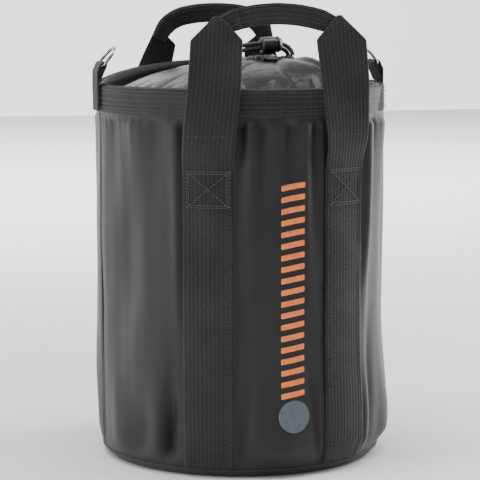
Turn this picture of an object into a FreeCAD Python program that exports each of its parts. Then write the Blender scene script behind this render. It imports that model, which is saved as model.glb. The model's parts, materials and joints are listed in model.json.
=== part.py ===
import FreeCAD, Part
import math
import os

import Sketcher

# Rope storage bag. Millimetres, +Z up, front towards -Y.
# The origin is the centre of the base, on the surface that the bag stands on.

SHEET = "Dimensions"

# alias: (value, what it is)
CELLS = {
    "wall_radius": (148, "outer radius of the fabric wall"),
    "wall_gauge": (1.5, "thickness of the coated fabric"),
    "front_rim": (380, "height of the rim at the front and the sides"),
    "rear_rise": (20, "how much higher the rim stands at the rear"),
    "corner_start": (35, "height where the wall starts to turn in to the base"),
    "seam_radius": (143, "radius of the base seam"),
    "seam_level": (8, "height of the base seam"),
    "floor_radius": (138, "radius of the flat part of the base"),
    "base_gauge": (2, "thickness of the base panel"),
    "play": (0.1, "gap between sewn layers"),
    "tape_gauge": (1, "thickness of the seam tapes"),
    "tape_width": (12, "width of the seam tapes"),
    "band_width": (25, "width of the rim webbing, also of the ring tabs"),
    "band_gauge": (2, "thickness of the webbing"),
    "strap_width": (50, "width of the strap and handle webbing"),
    "strap_angle": (28, "angle of each strap from the front or rear, degrees"),
    "stitch_top": (307, "height of the box-and-cross stitch's upper edge"),
    "leg_gap": (2, "gap between the sewn strap and its free leg"),
    "leg_stand": (3.6, "distance of a leg's middle from the wall, where it leaves the stitch"),
    "leg_mid_depth": (5.5, "how far a leg stands further out half way up"),
    "leg_mid_facing": (19.04, "where a leg faces half way up, degrees from the front"),
    "leg_top_depth": (8, "how far a leg stands further out at the fold"),
    "leg_top_facing": (7.84, "where a leg faces at the fold, degrees from the front"),
    "front_fold": (388, "height of the front handle's fold over the rim"),
    "rear_fold": (404, "height of the rear handle's fold over the rim"),
    "handle_lean": (7, "inward lean of the handle tops, degrees"),
    "shoulder_level": (428, "height where the webbing starts to fold in half"),
    "grip_end_level": (451, "height of the grip's upper edge at its ends"),
    "grip_top": (464, "height of the grip's upper edge at its middle"),
    "grip_height": (22, "height of the folded webbing at the grip"),
    "grip_gauge": (6, "thickness of the folded and sewn grip"),
    "grip_half": (62, "half of the distance between the grip's upper ends"),
    "leg_spacing": (66, "half of the distance between the legs at the fold"),
    "handle_taper": (3.5, "how far each leg moves inwards from the fold to the shoulder"),
    "inner_shoulder_drop": (2, "how much lower the shoulder is at the legs' inner edges"),
    "grip_fold_inset": (3, "how far the folded part stops short of the grip's inner end"),
    "collar_radius": (141.3, "outer radius of the collar's sewn foot"),
    "collar_foot": (352, "height of the collar's lower edge"),
    "collar_bend": (371, "height where the collar turns inwards"),
    "collar_shoulder": (391, "height of the collar half way to the mouth"),
    "collar_shoulder_share": (0.45, "how far the shoulder's centre lies towards the mouth"),
    "collar_shoulder_radius": (0.66, "radius of the shoulder, as a share of the foot's"),
    "collar_gauge": (1.2, "thickness of the collar"),
    "mouth_x": (30, "gathered mouth, centre to the right"),
    "mouth_y": (-10, "gathered mouth, centre to the front"),
    "mouth_radius": (17, "inner radius of the gathered hem"),
    "hem_level": (399, "height of the hem's lower edge"),
    "hem_height": (10, "height of the hem"),
    "hem_depth": (7, "radial depth of the hem"),
    "cord_size": (4.5, "diameter of the drawcord"),
    "cord_pitch": (5, "distance between the two cords in the lock"),
    "cord_play": (0.3, "gap between a cord and its passage"),
    "lock_level": (420.5, "height of the cord lock's axis"),
    "barrel_size": (17, "diameter of the lock's barrel"),
    "barrel_length": (14, "length of the lock's barrel"),
    "barrel_wall": (1.4, "wall of the lock's barrel"),
    "lock_edge": (1, "chamfer of the barrel's closed end, and height of the plunger's collar"),
    "nose_length": (7.5, "length of the plunger's tapered nose"),
    "nose_tip": (12.4, "diameter of the nose at its tip"),
    "shank_length": (8, "length of the plunger inside the barrel"),
    "press_travel": (3, "travel of the plunger"),
    "spring_depth": (1.1, "radial depth of the lock's spring"),
    "knot_length": (15, "length of the knot"),
    "knot_size": (12, "diameter of the knot"),
    "tab_top": (383, "upper edge of the tab where it crosses the rim"),
    "tab_inner_gap": (0.9, "gap between the rim facing and the tab's inner ply"),
    "tab_loop_gap": (1, "gap between the fold line and the tab's loop"),
    "tab_hinge_x": (152, "distance of the tab's fold line from the axis"),
    "tab_hinge_level": (388, "height of the tab's fold line"),
    "tab_lean": (25, "inward lean of the tab, degrees"),
    "ring_level": (14.8, "distance of the ring's bar from the tab's fold line"),
    "ring_lean": (38, "inward lean of the ring, degrees"),
    "ring_wire": (3, "diameter of the ring's wire"),
    "ring_play": (0.3, "gap between the ring's bar and the webbing"),
    "ring_half": (14.5, "half of the ring's width, to the wire's centre"),
    "ring_side": (7, "height of the ring's straight sides"),
    "ring_corner": (3, "radius of the ring's lower corners"),
}


class Size:
    """A number that keeps the spreadsheet formula that it comes from."""

    def __init__(self, value, formula=None):
        self.value = float(value)
        self.formula = formula or repr(self.value)

    def combined(self, other, sign, value):
        return Size(value, f"({self.formula} {sign} {other.formula})")

    def __add__(self, other):
        other = as_size(other)
        return self.combined(other, "+", self.value + other.value)

    def __sub__(self, other):
        other = as_size(other)
        return self.combined(other, "-", self.value - other.value)

    def __mul__(self, other):
        other = as_size(other)
        return self.combined(other, "*", self.value * other.value)

    def __truediv__(self, other):
        other = as_size(other)
        return self.combined(other, "/", self.value / other.value)

    def __neg__(self):
        return Size(-self.value, f"(0 - {self.formula})")

    def root(self):
        return Size(math.sqrt(self.value), f"sqrt({self.formula})")


def as_size(number):
    return number if isinstance(number, Size) else Size(number)


def cell(alias):
    return Size(CELLS[alias][0], f"{SHEET}.{alias}")


doc = FreeCAD.newDocument("rope_storage_bag")
sheet = doc.addObject("Spreadsheet::Sheet", SHEET)
for row, (alias, (number, meaning)) in enumerate(CELLS.items(), start=1):
    sheet.set(f"A{row}", meaning)
    sheet.set(f"B{row}", str(number))
    sheet.setAlias(f"B{row}", alias)
doc.recompute()

DEGREES = 180 / math.pi
FRONT, RIGHT, REAR, LEFT = -90, 0, 90, 180

# Reach of the cuts past the piece that they cut.
CUT_LENGTH = 800
RIM_CUT_REACH = 165
RIM_CUT_HEIGHT = 120
RIM_CUT_OVERLAP = 5
TRIM_DEPTH = 20
TRIM_ROOM = 1.3

pieces = []


def new_body(label):
    body = doc.addObject("PartDesign::Body", label)
    body.Label = label
    pieces.append(body)
    return body


def origin_plane(body, role):
    return next(item for item in body.Origin.OriginFeatures if item.Role == role)


def new_sketch(body, role):
    sketch = body.newObject("Sketcher::SketchObject", f"{body.Name}_sketch")
    sketch.AttachmentSupport = [(origin_plane(body, role), "")]
    sketch.MapMode = "FlatFace"
    return sketch


def bind(sketch, kind, places, size):
    """Add a dimension to the sketch and tie it to its formula."""
    index = sketch.addConstraint(Sketcher.Constraint(kind, *places, size.value))
    sketch.setExpression(f"Constraints[{index}]", size.formula)


def fix_coordinate(sketch, edge, end, kind, size):
    if abs(size.value) < 1e-9:
        axis = -2 if kind == "DistanceX" else -1
        sketch.addConstraint(Sketcher.Constraint("PointOnObject", edge, end, axis))
    else:
        bind(sketch, kind, (-1, 1, edge, end), size)


def fix_point(sketch, edge, end, point):
    fix_coordinate(sketch, edge, end, "DistanceX", point[0])
    fix_coordinate(sketch, edge, end, "DistanceY", point[1])


def vector(point):
    return FreeCAD.Vector(point[0].value, point[1].value, 0)


def outline(sketch, corners):
    """Draw a closed outline. A corner is (x, y), or (x, y, (centre x, centre y, turns_left)) where
    the edge that leaves it is an arc. A sketch may hold more than one outline."""
    first = sketch.GeometryCount
    count = len(corners)
    corners = [tuple(as_size(number) for number in corner[:2]) + tuple(corner[2:]) for corner in corners]
    starts = []
    for number, corner in enumerate(corners):
        start, end = vector(corner), vector(corners[(number + 1) % count])
        if len(corner) == 2:
            edge = sketch.addGeometry(Part.LineSegment(start, end))
            starts.append(1)
        else:
            centre = tuple(as_size(value) for value in corner[2][:2])
            turns_left = corner[2][2]
            edge = add_arc(sketch, start, end, centre, turns_left)
            starts.append(1 if turns_left else 2)
        fix_point(sketch, edge, starts[-1], corner)
    for number in range(count):
        after = (number + 1) % count
        sketch.addConstraint(Sketcher.Constraint(
            "Coincident", first + number, 3 - starts[number], first + after, starts[after]))


def add_arc(sketch, start, end, centre, turns_left):
    """An arc's centre lies half way between its ends, so one more dimension fixes it."""
    middle = vector(centre)
    low, high = (start, end) if turns_left else (end, start)
    angles = [math.atan2(spot.y - middle.y, spot.x - middle.x) for spot in (low, high)]
    if angles[1] < angles[0]:
        angles[1] += 2 * math.pi
    circle = Part.Circle(middle, FreeCAD.Vector(0, 0, 1), (start - middle).Length)
    edge = sketch.addGeometry(Part.ArcOfCircle(circle, *angles))
    chord = end - start
    kind, size = ("DistanceX", centre[0]) if abs(chord.y) > abs(chord.x) else ("DistanceY", centre[1])
    fix_coordinate(sketch, edge, 3, kind, size)
    return edge


def round_outline(sketch, centre, radius):
    edge = sketch.addGeometry(Part.Circle(vector(centre), FreeCAD.Vector(0, 0, 1), radius.value))
    fix_point(sketch, edge, 3, centre)
    bind(sketch, "Radius", (edge,), radius)


def revolve(body, sketch, angle=None):
    """Turn the sketch about its vertical axis: all round, or by an angle centred on the sketch."""
    turned = body.newObject("PartDesign::Revolution", f"{body.Name}_turned")
    turned.Profile = sketch
    turned.ReferenceAxis = (sketch, ["V_Axis"])
    if angle is None:
        turned.Angle = 360
    else:
        turned.Midplane = True
        turned.setExpression("Angle", angle.formula)


def pad(body, sketch, length):
    padded = body.newObject("PartDesign::Pad", f"{body.Name}_pad")
    padded.Profile = sketch
    padded.SideType = "Symmetric"
    padded.setExpression("Length", length.formula)


def cut_through(body, sketch):
    """Cut the sketch through the whole piece, both ways, and check that it took something off."""
    doc.recompute()
    before = body.Shape.Volume
    pocket = body.newObject("PartDesign::Pocket", f"{body.Name}_cut")
    pocket.Profile = sketch
    pocket.SideType = "Symmetric"
    pocket.Type = "Length"
    pocket.Length = CUT_LENGTH
    doc.recompute()
    assert body.Shape.Volume < before - 1, f"{body.Label}: the cut takes nothing off"


def turn(body, degrees):
    body.Placement = FreeCAD.Placement(FreeCAD.Vector(0, 0, 0), FreeCAD.Vector(0, 0, 1), degrees)


# The wall: upright above corner_start, then an arc that runs in to the base seam.
corner_drop = cell("corner_start") - cell("seam_level")
corner_inset = cell("wall_radius") - cell("seam_radius")
corner_radius = (corner_inset * corner_inset + corner_drop * corner_drop) / (corner_inset * 2)
corner_centre_x = cell("wall_radius") - corner_radius


def corner_x(offset, level):
    """Distance from the axis of the wall's surface, moved out by offset, at a level on the corner."""
    radius = corner_radius + offset
    drop = cell("corner_start") - level
    return corner_centre_x + (radius * radius - drop * drop).root()


def layer(sketch, inner, outer, low, high):
    """The section of one layer of the wall, between two offsets from the wall's outer surface."""
    near = cell("wall_radius") + inner
    far = cell("wall_radius") + outer
    if low.value >= CELLS["corner_start"][0]:
        outline(sketch, [(near, low), (far, low), (far, high), (near, high)])
        return
    centre = (corner_centre_x, cell("corner_start"))
    start = cell("corner_start")
    if high.value <= CELLS["corner_start"][0]:
        outline(sketch, [
            (corner_x(inner, low), low), (corner_x(outer, low), low, centre + (True,)),
            (corner_x(outer, high), high), (corner_x(inner, high), high, centre + (False,))])
        return
    outline(sketch, [
        (corner_x(inner, low), low), (corner_x(outer, low), low, centre + (True,)),
        (far, start), (far, high), (near, high), (near, start, centre + (False,))])


# The rim: level over the front half, then an arc that climbs to the rear.
rise_radius = (cell("wall_radius") * cell("wall_radius") + cell("rear_rise") * cell("rear_rise")) \
    / (cell("rear_rise") * 2)


def rim_sketch(body, role, drop, side):
    """Everything above the rim's curve lowered by drop (side 1) or below it (side -1)."""
    sketch = new_sketch(body, role)
    level = cell("front_rim") - drop
    centre = (0, level + rise_radius)
    reach = as_size(RIM_CUT_REACH)
    climb = level + rise_radius - (rise_radius * rise_radius - reach * reach).root()
    edge = level + side * RIM_CUT_HEIGHT
    front = as_size(-RIM_CUT_REACH if role == "YZ_Plane" else -RIM_CUT_OVERLAP)
    outline(sketch, [
        (front, level), (0, level, centre + (True,)), (reach, climb), (reach, edge), (front, edge)])
    return sketch


def base_panel():
    body = new_body("base_panel")
    sketch = new_sketch(body, "XZ_Plane")
    gauge, level = cell("base_gauge"), cell("seam_level") - cell("play")
    outline(sketch, [
        (0, 0), (cell("floor_radius"), 0), (cell("seam_radius"), level),
        (cell("seam_radius") - gauge, level), (cell("floor_radius") - gauge, gauge), (0, gauge)])
    revolve(body, sketch)


def base_seam_binding():
    body = new_body("base_seam_binding")
    sketch = new_sketch(body, "XZ_Plane")
    inner = -(cell("wall_gauge") + cell("play") + cell("tape_gauge"))
    outer = -(cell("wall_gauge") + cell("play"))
    low = cell("seam_level") + cell("base_gauge")
    layer(sketch, inner, outer, low, low + cell("tape_width"))
    revolve(body, sketch)


def wall_panel(label, heading):
    body = new_body(label)
    sketch = new_sketch(body, "XZ_Plane")
    top = cell("front_rim") + cell("rear_rise") if heading == REAR else cell("front_rim")
    layer(sketch, -cell("wall_gauge"), as_size(0), cell("seam_level"), top)
    side_gap = cell("play") / cell("wall_radius") * DEGREES
    revolve(body, sketch, as_size(180) - side_gap)
    if heading == REAR:
        cut_through(body, rim_sketch(body, "XZ_Plane", as_size(0), 1))
    turn(body, heading)


def seam_binding(label, heading):
    body = new_body(label)
    sketch = new_sketch(body, "XZ_Plane")
    inner = -(cell("wall_gauge") + cell("play") + cell("tape_gauge"))
    outer = -(cell("wall_gauge") + cell("play"))
    low = cell("seam_level") + cell("base_gauge") + cell("tape_width") + cell("play")
    layer(sketch, inner, outer, low, cell("front_rim") - cell("band_width") - cell("leg_gap") * 2)
    revolve(body, sketch, cell("tape_width") / cell("wall_radius") * DEGREES)
    turn(body, heading)


def rim_ring(label, inner, outer):
    """A band of webbing that follows the rim's curve all round."""
    body = new_body(label)
    sketch = new_sketch(body, "XZ_Plane")
    low = cell("front_rim") - cell("band_width") - cell("leg_gap")
    layer(sketch, inner, outer, low, cell("front_rim") + cell("rear_rise") + cell("leg_gap"))
    revolve(body, sketch)
    cut_through(body, rim_sketch(body, "YZ_Plane", as_size(0), 1))
    cut_through(body, rim_sketch(body, "YZ_Plane", cell("band_width"), -1))


def sewn_strap(label, heading):
    body = new_body(label)
    sketch = new_sketch(body, "XZ_Plane")
    inner = cell("play")
    low = cell("seam_level") + cell("leg_gap")
    layer(sketch, inner, inner + cell("band_gauge"), low, cell("stitch_top"))
    revolve(body, sketch, cell("strap_width") / cell("wall_radius") * DEGREES * TRIM_ROOM)
    for side in (-1, 1):
        trim = new_sketch(body, "YZ_Plane")
        edge = cell("strap_width") * (side / 2)
        away = edge + side * TRIM_DEPTH
        low_edge, high_edge = 0, cell("stitch_top") + TRIM_DEPTH
        outline(trim, [(edge, low_edge), (away, low_edge), (away, high_edge), (edge, high_edge)])
        cut_through(body, trim)
    turn(body, heading)


def leg(label, side, heading, fold):
    """Free webbing from the box-and-cross stitch up to the fold at the rim. It leaves the wall
    along the wall's own direction and turns to face the front as it rises."""
    body = new_body(label)
    low = cell("stitch_top") + cell("leg_gap")
    high = fold - cell("leg_gap") / 2
    foot_x, foot_y = leg_foot()
    stations = [
        (low, foot_x, foot_y, cell("strap_angle")),
        ((low + high) / 2, foot_x - (foot_x - cell("leg_spacing")) / 3, foot_y - cell("leg_mid_depth"),
         cell("leg_mid_facing")),
        (high, cell("leg_spacing"), foot_y - cell("leg_top_depth"), cell("leg_top_facing")),
    ]
    sections = []
    for level, across, depth, facing in stations:
        sketch = new_sketch(body, "XY_Plane")
        half, thin = cell("strap_width") / 2, cell("band_gauge") / 2
        outline(sketch, [(-half, -thin), (half, -thin), (half, thin), (-half, thin)])
        sketch.AttachmentOffset = FreeCAD.Placement(
            FreeCAD.Vector(side * across.value, depth.value, level.value),
            FreeCAD.Vector(0, 0, side), facing.value)
        for path, size in (
                ("Base.x", across * side), ("Base.y", depth), ("Base.z", level),
                ("Rotation.Angle", facing)):
            sketch.setExpression(f"AttachmentOffset.{path}", size.formula)
        sections.append(sketch)
    loft = body.newObject("PartDesign::AdditiveLoft", f"{label}_loft")
    loft.Profile = sections[0]
    loft.Sections = sections[1:]
    turn(body, heading + 90)


def leg_foot():
    """Where a leg starts, seen from above, for the front right leg."""
    radius = cell("wall_radius") + cell("leg_stand")
    angle = f"{SHEET}.strap_angle * 1deg"
    value = math.radians(CELLS["strap_angle"][0])
    across = Size(radius.value * math.sin(value), f"({radius.formula} * sin({angle}))")
    depth = Size(-radius.value * math.cos(value), f"(0 - {radius.formula} * cos({angle}))")
    return across, depth


def handle_top(label, fold, heading):
    """Upper legs and grip, drawn flat in the handle's own plane with the fold at its base."""
    body = new_body(label)
    half = cell("strap_width") / 2
    foot = cell("leg_gap") / 2
    shoulder = cell("shoulder_level") - fold
    ends = cell("grip_end_level") - fold
    top = cell("grip_top") - fold
    grip = cell("grip_half")
    spacing = cell("leg_spacing")
    rise = top - ends
    over = (grip * grip + rise * rise) / (rise * 2)
    under = over - cell("grip_height")
    inner = grip - cell("grip_height") / 2
    centre = (0, top - over)
    inner_level = top - over + (under * under - inner * inner).root()
    taper = cell("handle_taper")
    inner_shoulder = shoulder - cell("inner_shoulder_drop")
    webbing = new_sketch(body, "XZ_Plane")
    outline(webbing, [
        (spacing - half, foot), (spacing + half, foot), (spacing + half - taper, shoulder),
        (grip, ends, centre + (True,)), (-grip, ends), (-(spacing + half - taper), shoulder),
        (-(spacing + half), foot), (-(spacing - half), foot), (-(spacing - half - taper), inner_shoulder),
        (-inner, inner_level, centre + (False,)), (inner, inner_level),
        (spacing - half - taper, inner_shoulder)])
    pad(body, webbing, cell("band_gauge"))
    folded = new_sketch(body, "XZ_Plane")
    fold_end = inner - cell("grip_fold_inset")
    fold_over = top - over + (over * over - fold_end * fold_end).root()
    fold_under = top - over + (under * under - fold_end * fold_end).root()
    outline(folded, [
        (fold_end, fold_over, centre + (True,)), (-fold_end, fold_over),
        (-fold_end, fold_under, centre + (False,)), (fold_end, fold_under)])
    pad(body, folded, cell("grip_gauge"))
    depth = leg_foot()[1].value - CELLS["leg_top_depth"][0]
    stand = FreeCAD.Placement(
        FreeCAD.Vector(0, depth, fold.value), FreeCAD.Vector(1, 0, 0), -CELLS["handle_lean"][0])
    body.Placement = FreeCAD.Placement(
        FreeCAD.Vector(0, 0, 0), FreeCAD.Vector(0, 0, 1), heading + 90) * stand


def collar():
    """A thin skirt: an upright foot sewn inside the rim, then a slope up to the off-centre mouth."""
    body = new_body("collar")
    for kind, inset, drop in (
            ("PartDesign::AdditiveLoft", as_size(0), as_size(0)),
            ("PartDesign::SubtractiveLoft", cell("collar_gauge"), cell("collar_gauge"))):
        mouth = cell("mouth_radius") + cell("hem_depth") - inset
        centre, shoulder = as_size(0), cell("collar_shoulder_share")
        stations = [
            (centre, cell("collar_foot") - drop * 2, cell("collar_radius") - inset),
            (centre, cell("collar_bend") - drop, cell("collar_radius") - inset),
            (shoulder, cell("collar_shoulder") - drop,
             cell("collar_radius") * cell("collar_shoulder_radius") - inset),
            (as_size(1), cell("hem_level") - drop, mouth),
        ]
        if kind == "PartDesign::SubtractiveLoft":
            stations.append((as_size(1), cell("hem_level") + drop, mouth))
        sections = []
        for share, level, radius in stations:
            sketch = new_sketch(body, "XY_Plane")
            round_outline(sketch, (cell("mouth_x") * share, cell("mouth_y") * share), radius)
            sketch.AttachmentOffset = FreeCAD.Placement(
                FreeCAD.Vector(0, 0, level.value), FreeCAD.Rotation())
            sketch.setExpression("AttachmentOffset.Base.z", level.formula)
            sections.append(sketch)
        loft = body.newObject(kind, "collar_loft")
        loft.Profile = sections[0]
        loft.Sections = sections[1:]
        loft.Ruled = True


def mouth_placement(level):
    return FreeCAD.Vector(CELLS["mouth_x"][0], CELLS["mouth_y"][0], level)


def collar_hem():
    """The channel round the mouth, with a round passage for the drawcord."""
    body = new_body("collar_hem")
    sketch = new_sketch(body, "XZ_Plane")
    near = cell("mouth_radius")
    far = near + cell("hem_depth")
    outline(sketch, [
        (near, cell("play")), (far, cell("play")), (far, cell("hem_height")), (near, cell("hem_height"))])
    middle = (near + cell("hem_depth") / 2, cell("hem_height") / 2)
    round_outline(sketch, middle, cell("cord_size") / 2 + cell("cord_play"))
    revolve(body, sketch)
    body.Placement.Base = mouth_placement(CELLS["hem_level"][0])


def hem_cord():
    ring = doc.addObject("Part::Torus", "hem_cord")
    ring.Label = "hem_cord"
    radius = cell("mouth_radius") + cell("hem_depth") / 2
    ring.setExpression("Radius1", radius.formula)
    ring.setExpression("Radius2", (cell("cord_size") / 2).formula)
    ring.Placement.Base = mouth_placement(CELLS["hem_level"][0] + CELLS["hem_height"][0] / 2)
    pieces.append(ring)


# The drawcord's two free ends, from the hem's upper face, through the lock, to the knot.
UPPER_TAIL = [
    (53.0, -12.5, 410.0), (51.5, -8.5, 424.5), (-7.0, -12.6, 420.4),
    (-22.0, -16.5, 413.0), (-32.2, -20.6, 407.6)]
LOWER_TAIL = [
    (50.0, -5.5, 410.2), (47.5, -8.8, 419.2), (-5.0, -12.5, 415.5),
    (-17.0, -18.5, 409.0), (-28.8, -24.9, 403.9)]
LOCK_DIRECTION = FreeCAD.Vector(1.0, 0.07, 0.07)
KNOT_CENTRE = FreeCAD.Vector(-36.0, -23.5, 403.6)
ROUNDING = 0.45
LOCK_END = -(CELLS["barrel_length"][0] + CELLS["nose_length"][0]) / 2


def cord_tail(label, route):
    """A tube along straight runs joined by arcs that touch both runs."""
    size = CELLS["cord_size"][0]
    spots = [FreeCAD.Vector(*spot) for spot in route]
    edges, radii = [], []
    last = spots[0]
    for before, corner, after in zip(spots, spots[1:], spots[2:]):
        into, out = corner - before, after - corner
        reach = ROUNDING * min(into.Length, out.Length)
        half_turn = into.getAngle(out) / 2
        radii.append(reach / math.tan(half_turn))
        into.normalize()
        out.normalize()
        start, end = corner - into * reach, corner + out * reach
        middle_gap = radii[-1] * (1 / math.cos(half_turn) - 1)
        middle = corner + (out - into).normalize() * middle_gap
        edges.append(Part.LineSegment(last, start).toShape())
        edges.append(Part.Arc(start, middle, end).toShape())
        last = end
    edges.append(Part.LineSegment(last, spots[-1]).toShape())
    path = Part.Wire(edges)
    first_way = (spots[1] - spots[0]).normalize()
    circle = Part.Circle(spots[0], first_way, size / 2)
    section = Part.Wire(Part.Edge(circle))
    tube = path.makePipeShell([section], True, True)
    length = path.Length
    exact = math.pi * size * size / 4 * length
    print(f"{label}: length {length:.1f}, radii " + ", ".join(f"{radius:.1f}" for radius in radii)
          + f", volume {tube.Volume / exact:.4f} of section times length")
    feature = doc.addObject("Part::Feature", label)
    feature.Label = label
    feature.Shape = tube
    pieces.append(feature)


def cord_knot():
    knot = doc.addObject("Part::Ellipsoid", "cord_knot")
    knot.Label = "cord_knot"
    knot.setExpression("Radius1", (cell("knot_size") / 2).formula)
    knot.setExpression("Radius2", (cell("knot_length") / 2).formula)
    knot.setExpression("Radius3", (cell("knot_size") / 2).formula)
    knot.Placement = FreeCAD.Placement(KNOT_CENTRE, FreeCAD.Rotation(FreeCAD.Vector(0, 0, 1), 60))
    pieces.append(knot)


def lock_placement(along):
    """A piece of the lock, whose own +Z runs along the lock, moved along from the lock's middle."""
    side = LOCK_DIRECTION.cross(FreeCAD.Vector(0, 0, 1))
    turned = FreeCAD.Rotation(side, FreeCAD.Vector(), LOCK_DIRECTION, "ZXY")
    middle = mouth_placement(CELLS["lock_level"][0])
    return FreeCAD.Placement(middle + turned.multVec(FreeCAD.Vector(0, 0, along)), turned)


def passage(body):
    """An oblong hole for the two cords, one above the other, along the piece's own axis."""
    sketch = new_sketch(body, "XY_Plane")
    radius = cell("cord_size") / 2 + cell("cord_play")
    reach = cell("cord_pitch") / 2
    outline(sketch, [
        (radius, -reach), (radius, reach, (0, reach, True)),
        (-radius, reach), (-radius, -reach, (0, -reach, True))])
    cut_through(body, sketch)


def lock_barrel():
    body = new_body("lock_barrel")
    sketch = new_sketch(body, "XZ_Plane")
    radius, wall, length = cell("barrel_size") / 2, cell("barrel_wall"), cell("barrel_length")
    edge = cell("lock_edge")
    outline(sketch, [
        (0, 0), (radius - edge, 0), (radius, edge), (radius, length), (radius - wall, length),
        (radius - wall, wall), (0, wall)])
    revolve(body, sketch)
    passage(body)
    body.Placement = lock_placement(LOCK_END)


def lock_plunger():
    body = new_body("lock_plunger")
    sketch = new_sketch(body, "XZ_Plane")
    bore = cell("barrel_size") / 2 - cell("barrel_wall") - cell("play")
    gap = cell("press_travel") + cell("cord_play")
    face = cell("barrel_length") + gap
    shank = cell("barrel_length") - cell("shank_length")
    tip = cell("barrel_length") + cell("nose_length")
    outline(sketch, [
        (0, shank), (bore, shank), (bore, face), (cell("barrel_size") / 2, face),
        (cell("barrel_size") / 2, face + cell("lock_edge")), (cell("nose_tip") / 2, tip), (0, tip)])
    revolve(body, sketch)
    passage(body)
    body.Placement = lock_placement(LOCK_END)


def lock_spring():
    """A wave spring round the cords, between the barrel's end and the plunger."""
    body = new_body("lock_spring")
    sketch = new_sketch(body, "XZ_Plane")
    outer = cell("barrel_size") / 2 - cell("barrel_wall") - cell("cord_play")
    low = cell("barrel_wall") + cell("play")
    high = cell("barrel_length") - cell("shank_length") - cell("play")
    inner = outer - cell("spring_depth")
    outline(sketch, [(inner, low), (outer, low), (outer, high), (inner, high)])
    revolve(body, sketch)
    body.Placement = lock_placement(LOCK_END)


def tab_base(label, heading):
    """The webbing sewn over the rim: one ply outside, one inside, joined across the top."""
    body = new_body(label)
    sketch = new_sketch(body, "XZ_Plane")
    gauge = cell("band_gauge")
    near = cell("wall_radius") + cell("play") + gauge + cell("play")
    far = near + gauge
    inside = cell("wall_radius") - cell("wall_gauge") - gauge - cell("tab_inner_gap")
    low, high = cell("front_rim") - cell("band_width"), cell("tab_top")
    outline(sketch, [
        (near, low), (far, low), (far, high), (inside - gauge, high), (inside - gauge, low), (inside, low),
        (inside, high - gauge), (near, high - gauge)])
    pad(body, sketch, cell("band_width"))
    turn(body, heading)


def tab_placement(heading, along, lean):
    """A piece whose own origin is on the tab, that far above its fold line, leaning inwards."""
    hinge = FreeCAD.Vector(CELLS["tab_hinge_x"][0], 0, CELLS["tab_hinge_level"][0])
    tab = FreeCAD.Rotation(FreeCAD.Vector(0, 1, 0), -CELLS["tab_lean"][0])
    spot = hinge + tab.multVec(FreeCAD.Vector(0, 0, along))
    around = FreeCAD.Placement(FreeCAD.Vector(0, 0, 0), FreeCAD.Vector(0, 0, 1), heading)
    return around * FreeCAD.Placement(spot, FreeCAD.Rotation(FreeCAD.Vector(0, 1, 0), -lean))


def tab_loop(label, heading):
    body = new_body(label)
    sketch = new_sketch(body, "XZ_Plane")
    bore = cell("ring_wire") / 2 + cell("ring_play")
    outer = bore + cell("band_gauge")
    level = cell("ring_level")
    low = cell("tab_loop_gap")
    floor = low + cell("band_gauge")
    outline(sketch, [
        (-outer, low), (outer, low), (outer, level, (0, level, True)), (-outer, level)])
    outline(sketch, [
        (-bore, floor), (bore, floor), (bore, level, (0, level, True)), (-bore, level)])
    pad(body, sketch, cell("band_width"))
    body.Placement = tab_placement(heading, 0, CELLS["tab_lean"][0])


def d_ring(label, heading):
    body = new_body(label)
    path = new_sketch(body, "YZ_Plane")
    half, side, corner = cell("ring_half"), cell("ring_side"), cell("ring_corner")
    flat = half - corner
    outline(path, [
        (-flat, 0), (flat, 0, (flat, corner, True)), (half, corner), (half, side, (0, side, True)),
        (-half, side), (-half, corner, (-flat, corner, True))])
    section = new_sketch(body, "XZ_Plane")
    round_outline(section, (as_size(0), as_size(0)), cell("ring_wire") / 2)
    pipe = body.newObject("PartDesign::AdditivePipe", f"{label}_pipe")
    pipe.Profile = section
    pipe.Spine = (path, [f"Edge{number}" for number in range(1, 7)])
    body.Placement = tab_placement(heading, CELLS["ring_level"][0], CELLS["ring_lean"][0])


def build():
    base_panel()
    base_seam_binding()
    wall_panel("front_panel", FRONT)
    wall_panel("rear_panel", REAR)
    seam_binding("left_seam_binding", LEFT)
    seam_binding("right_seam_binding", RIGHT)
    webbing_in = cell("play")
    rim_ring("rim_band", webbing_in, webbing_in + cell("band_gauge"))
    facing_out = -(cell("wall_gauge") + cell("play"))
    rim_ring("rim_facing", facing_out - cell("band_gauge"), facing_out)
    angle = CELLS["strap_angle"][0]
    for end, heading, fold in (
            ("front", FRONT, cell("front_fold")), ("rear", REAR, cell("rear_fold"))):
        sides = (("left", -1), ("right", 1)) if end == "front" else (("left", 1), ("right", -1))
        for name, side in sides:
            sewn_strap(f"{end}_{name}_strap", heading + side * angle)
            leg(f"{end}_{name}_leg", side, heading, fold)
        handle_top(f"{end}_handle_top", fold, heading)
    collar()
    collar_hem()
    hem_cord()
    cord_tail("upper_cord_tail", UPPER_TAIL)
    cord_tail("lower_cord_tail", LOWER_TAIL)
    cord_knot()
    lock_barrel()
    lock_plunger()
    lock_spring()
    for name, heading in (("left", LEFT), ("right", RIGHT)):
        tab_base(f"{name}_tab_base", heading)
        tab_loop(f"{name}_tab_loop", heading)
        d_ring(f"{name}_d_ring", heading)


def check_and_write():
    doc.recompute()
    for item in doc.Objects:
        assert not {"Invalid", "Error"} & set(item.State), f"{item.Label}: {item.State}"
    for piece in pieces:
        shape = piece.Shape
        assert not shape.isNull() and shape.isValid(), f"{piece.Label}: no valid shape"
        assert shape.Volume > 0 and len(shape.Solids) == 1, f"{piece.Label}: not one solid"
    os.makedirs("parts", exist_ok=True)
    for piece in pieces:
        piece.Shape.exportStep(f"parts/{piece.Label}.step")
    print(len(pieces), "pieces written")


build()
check_and_write()
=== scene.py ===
import json
import math

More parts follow.
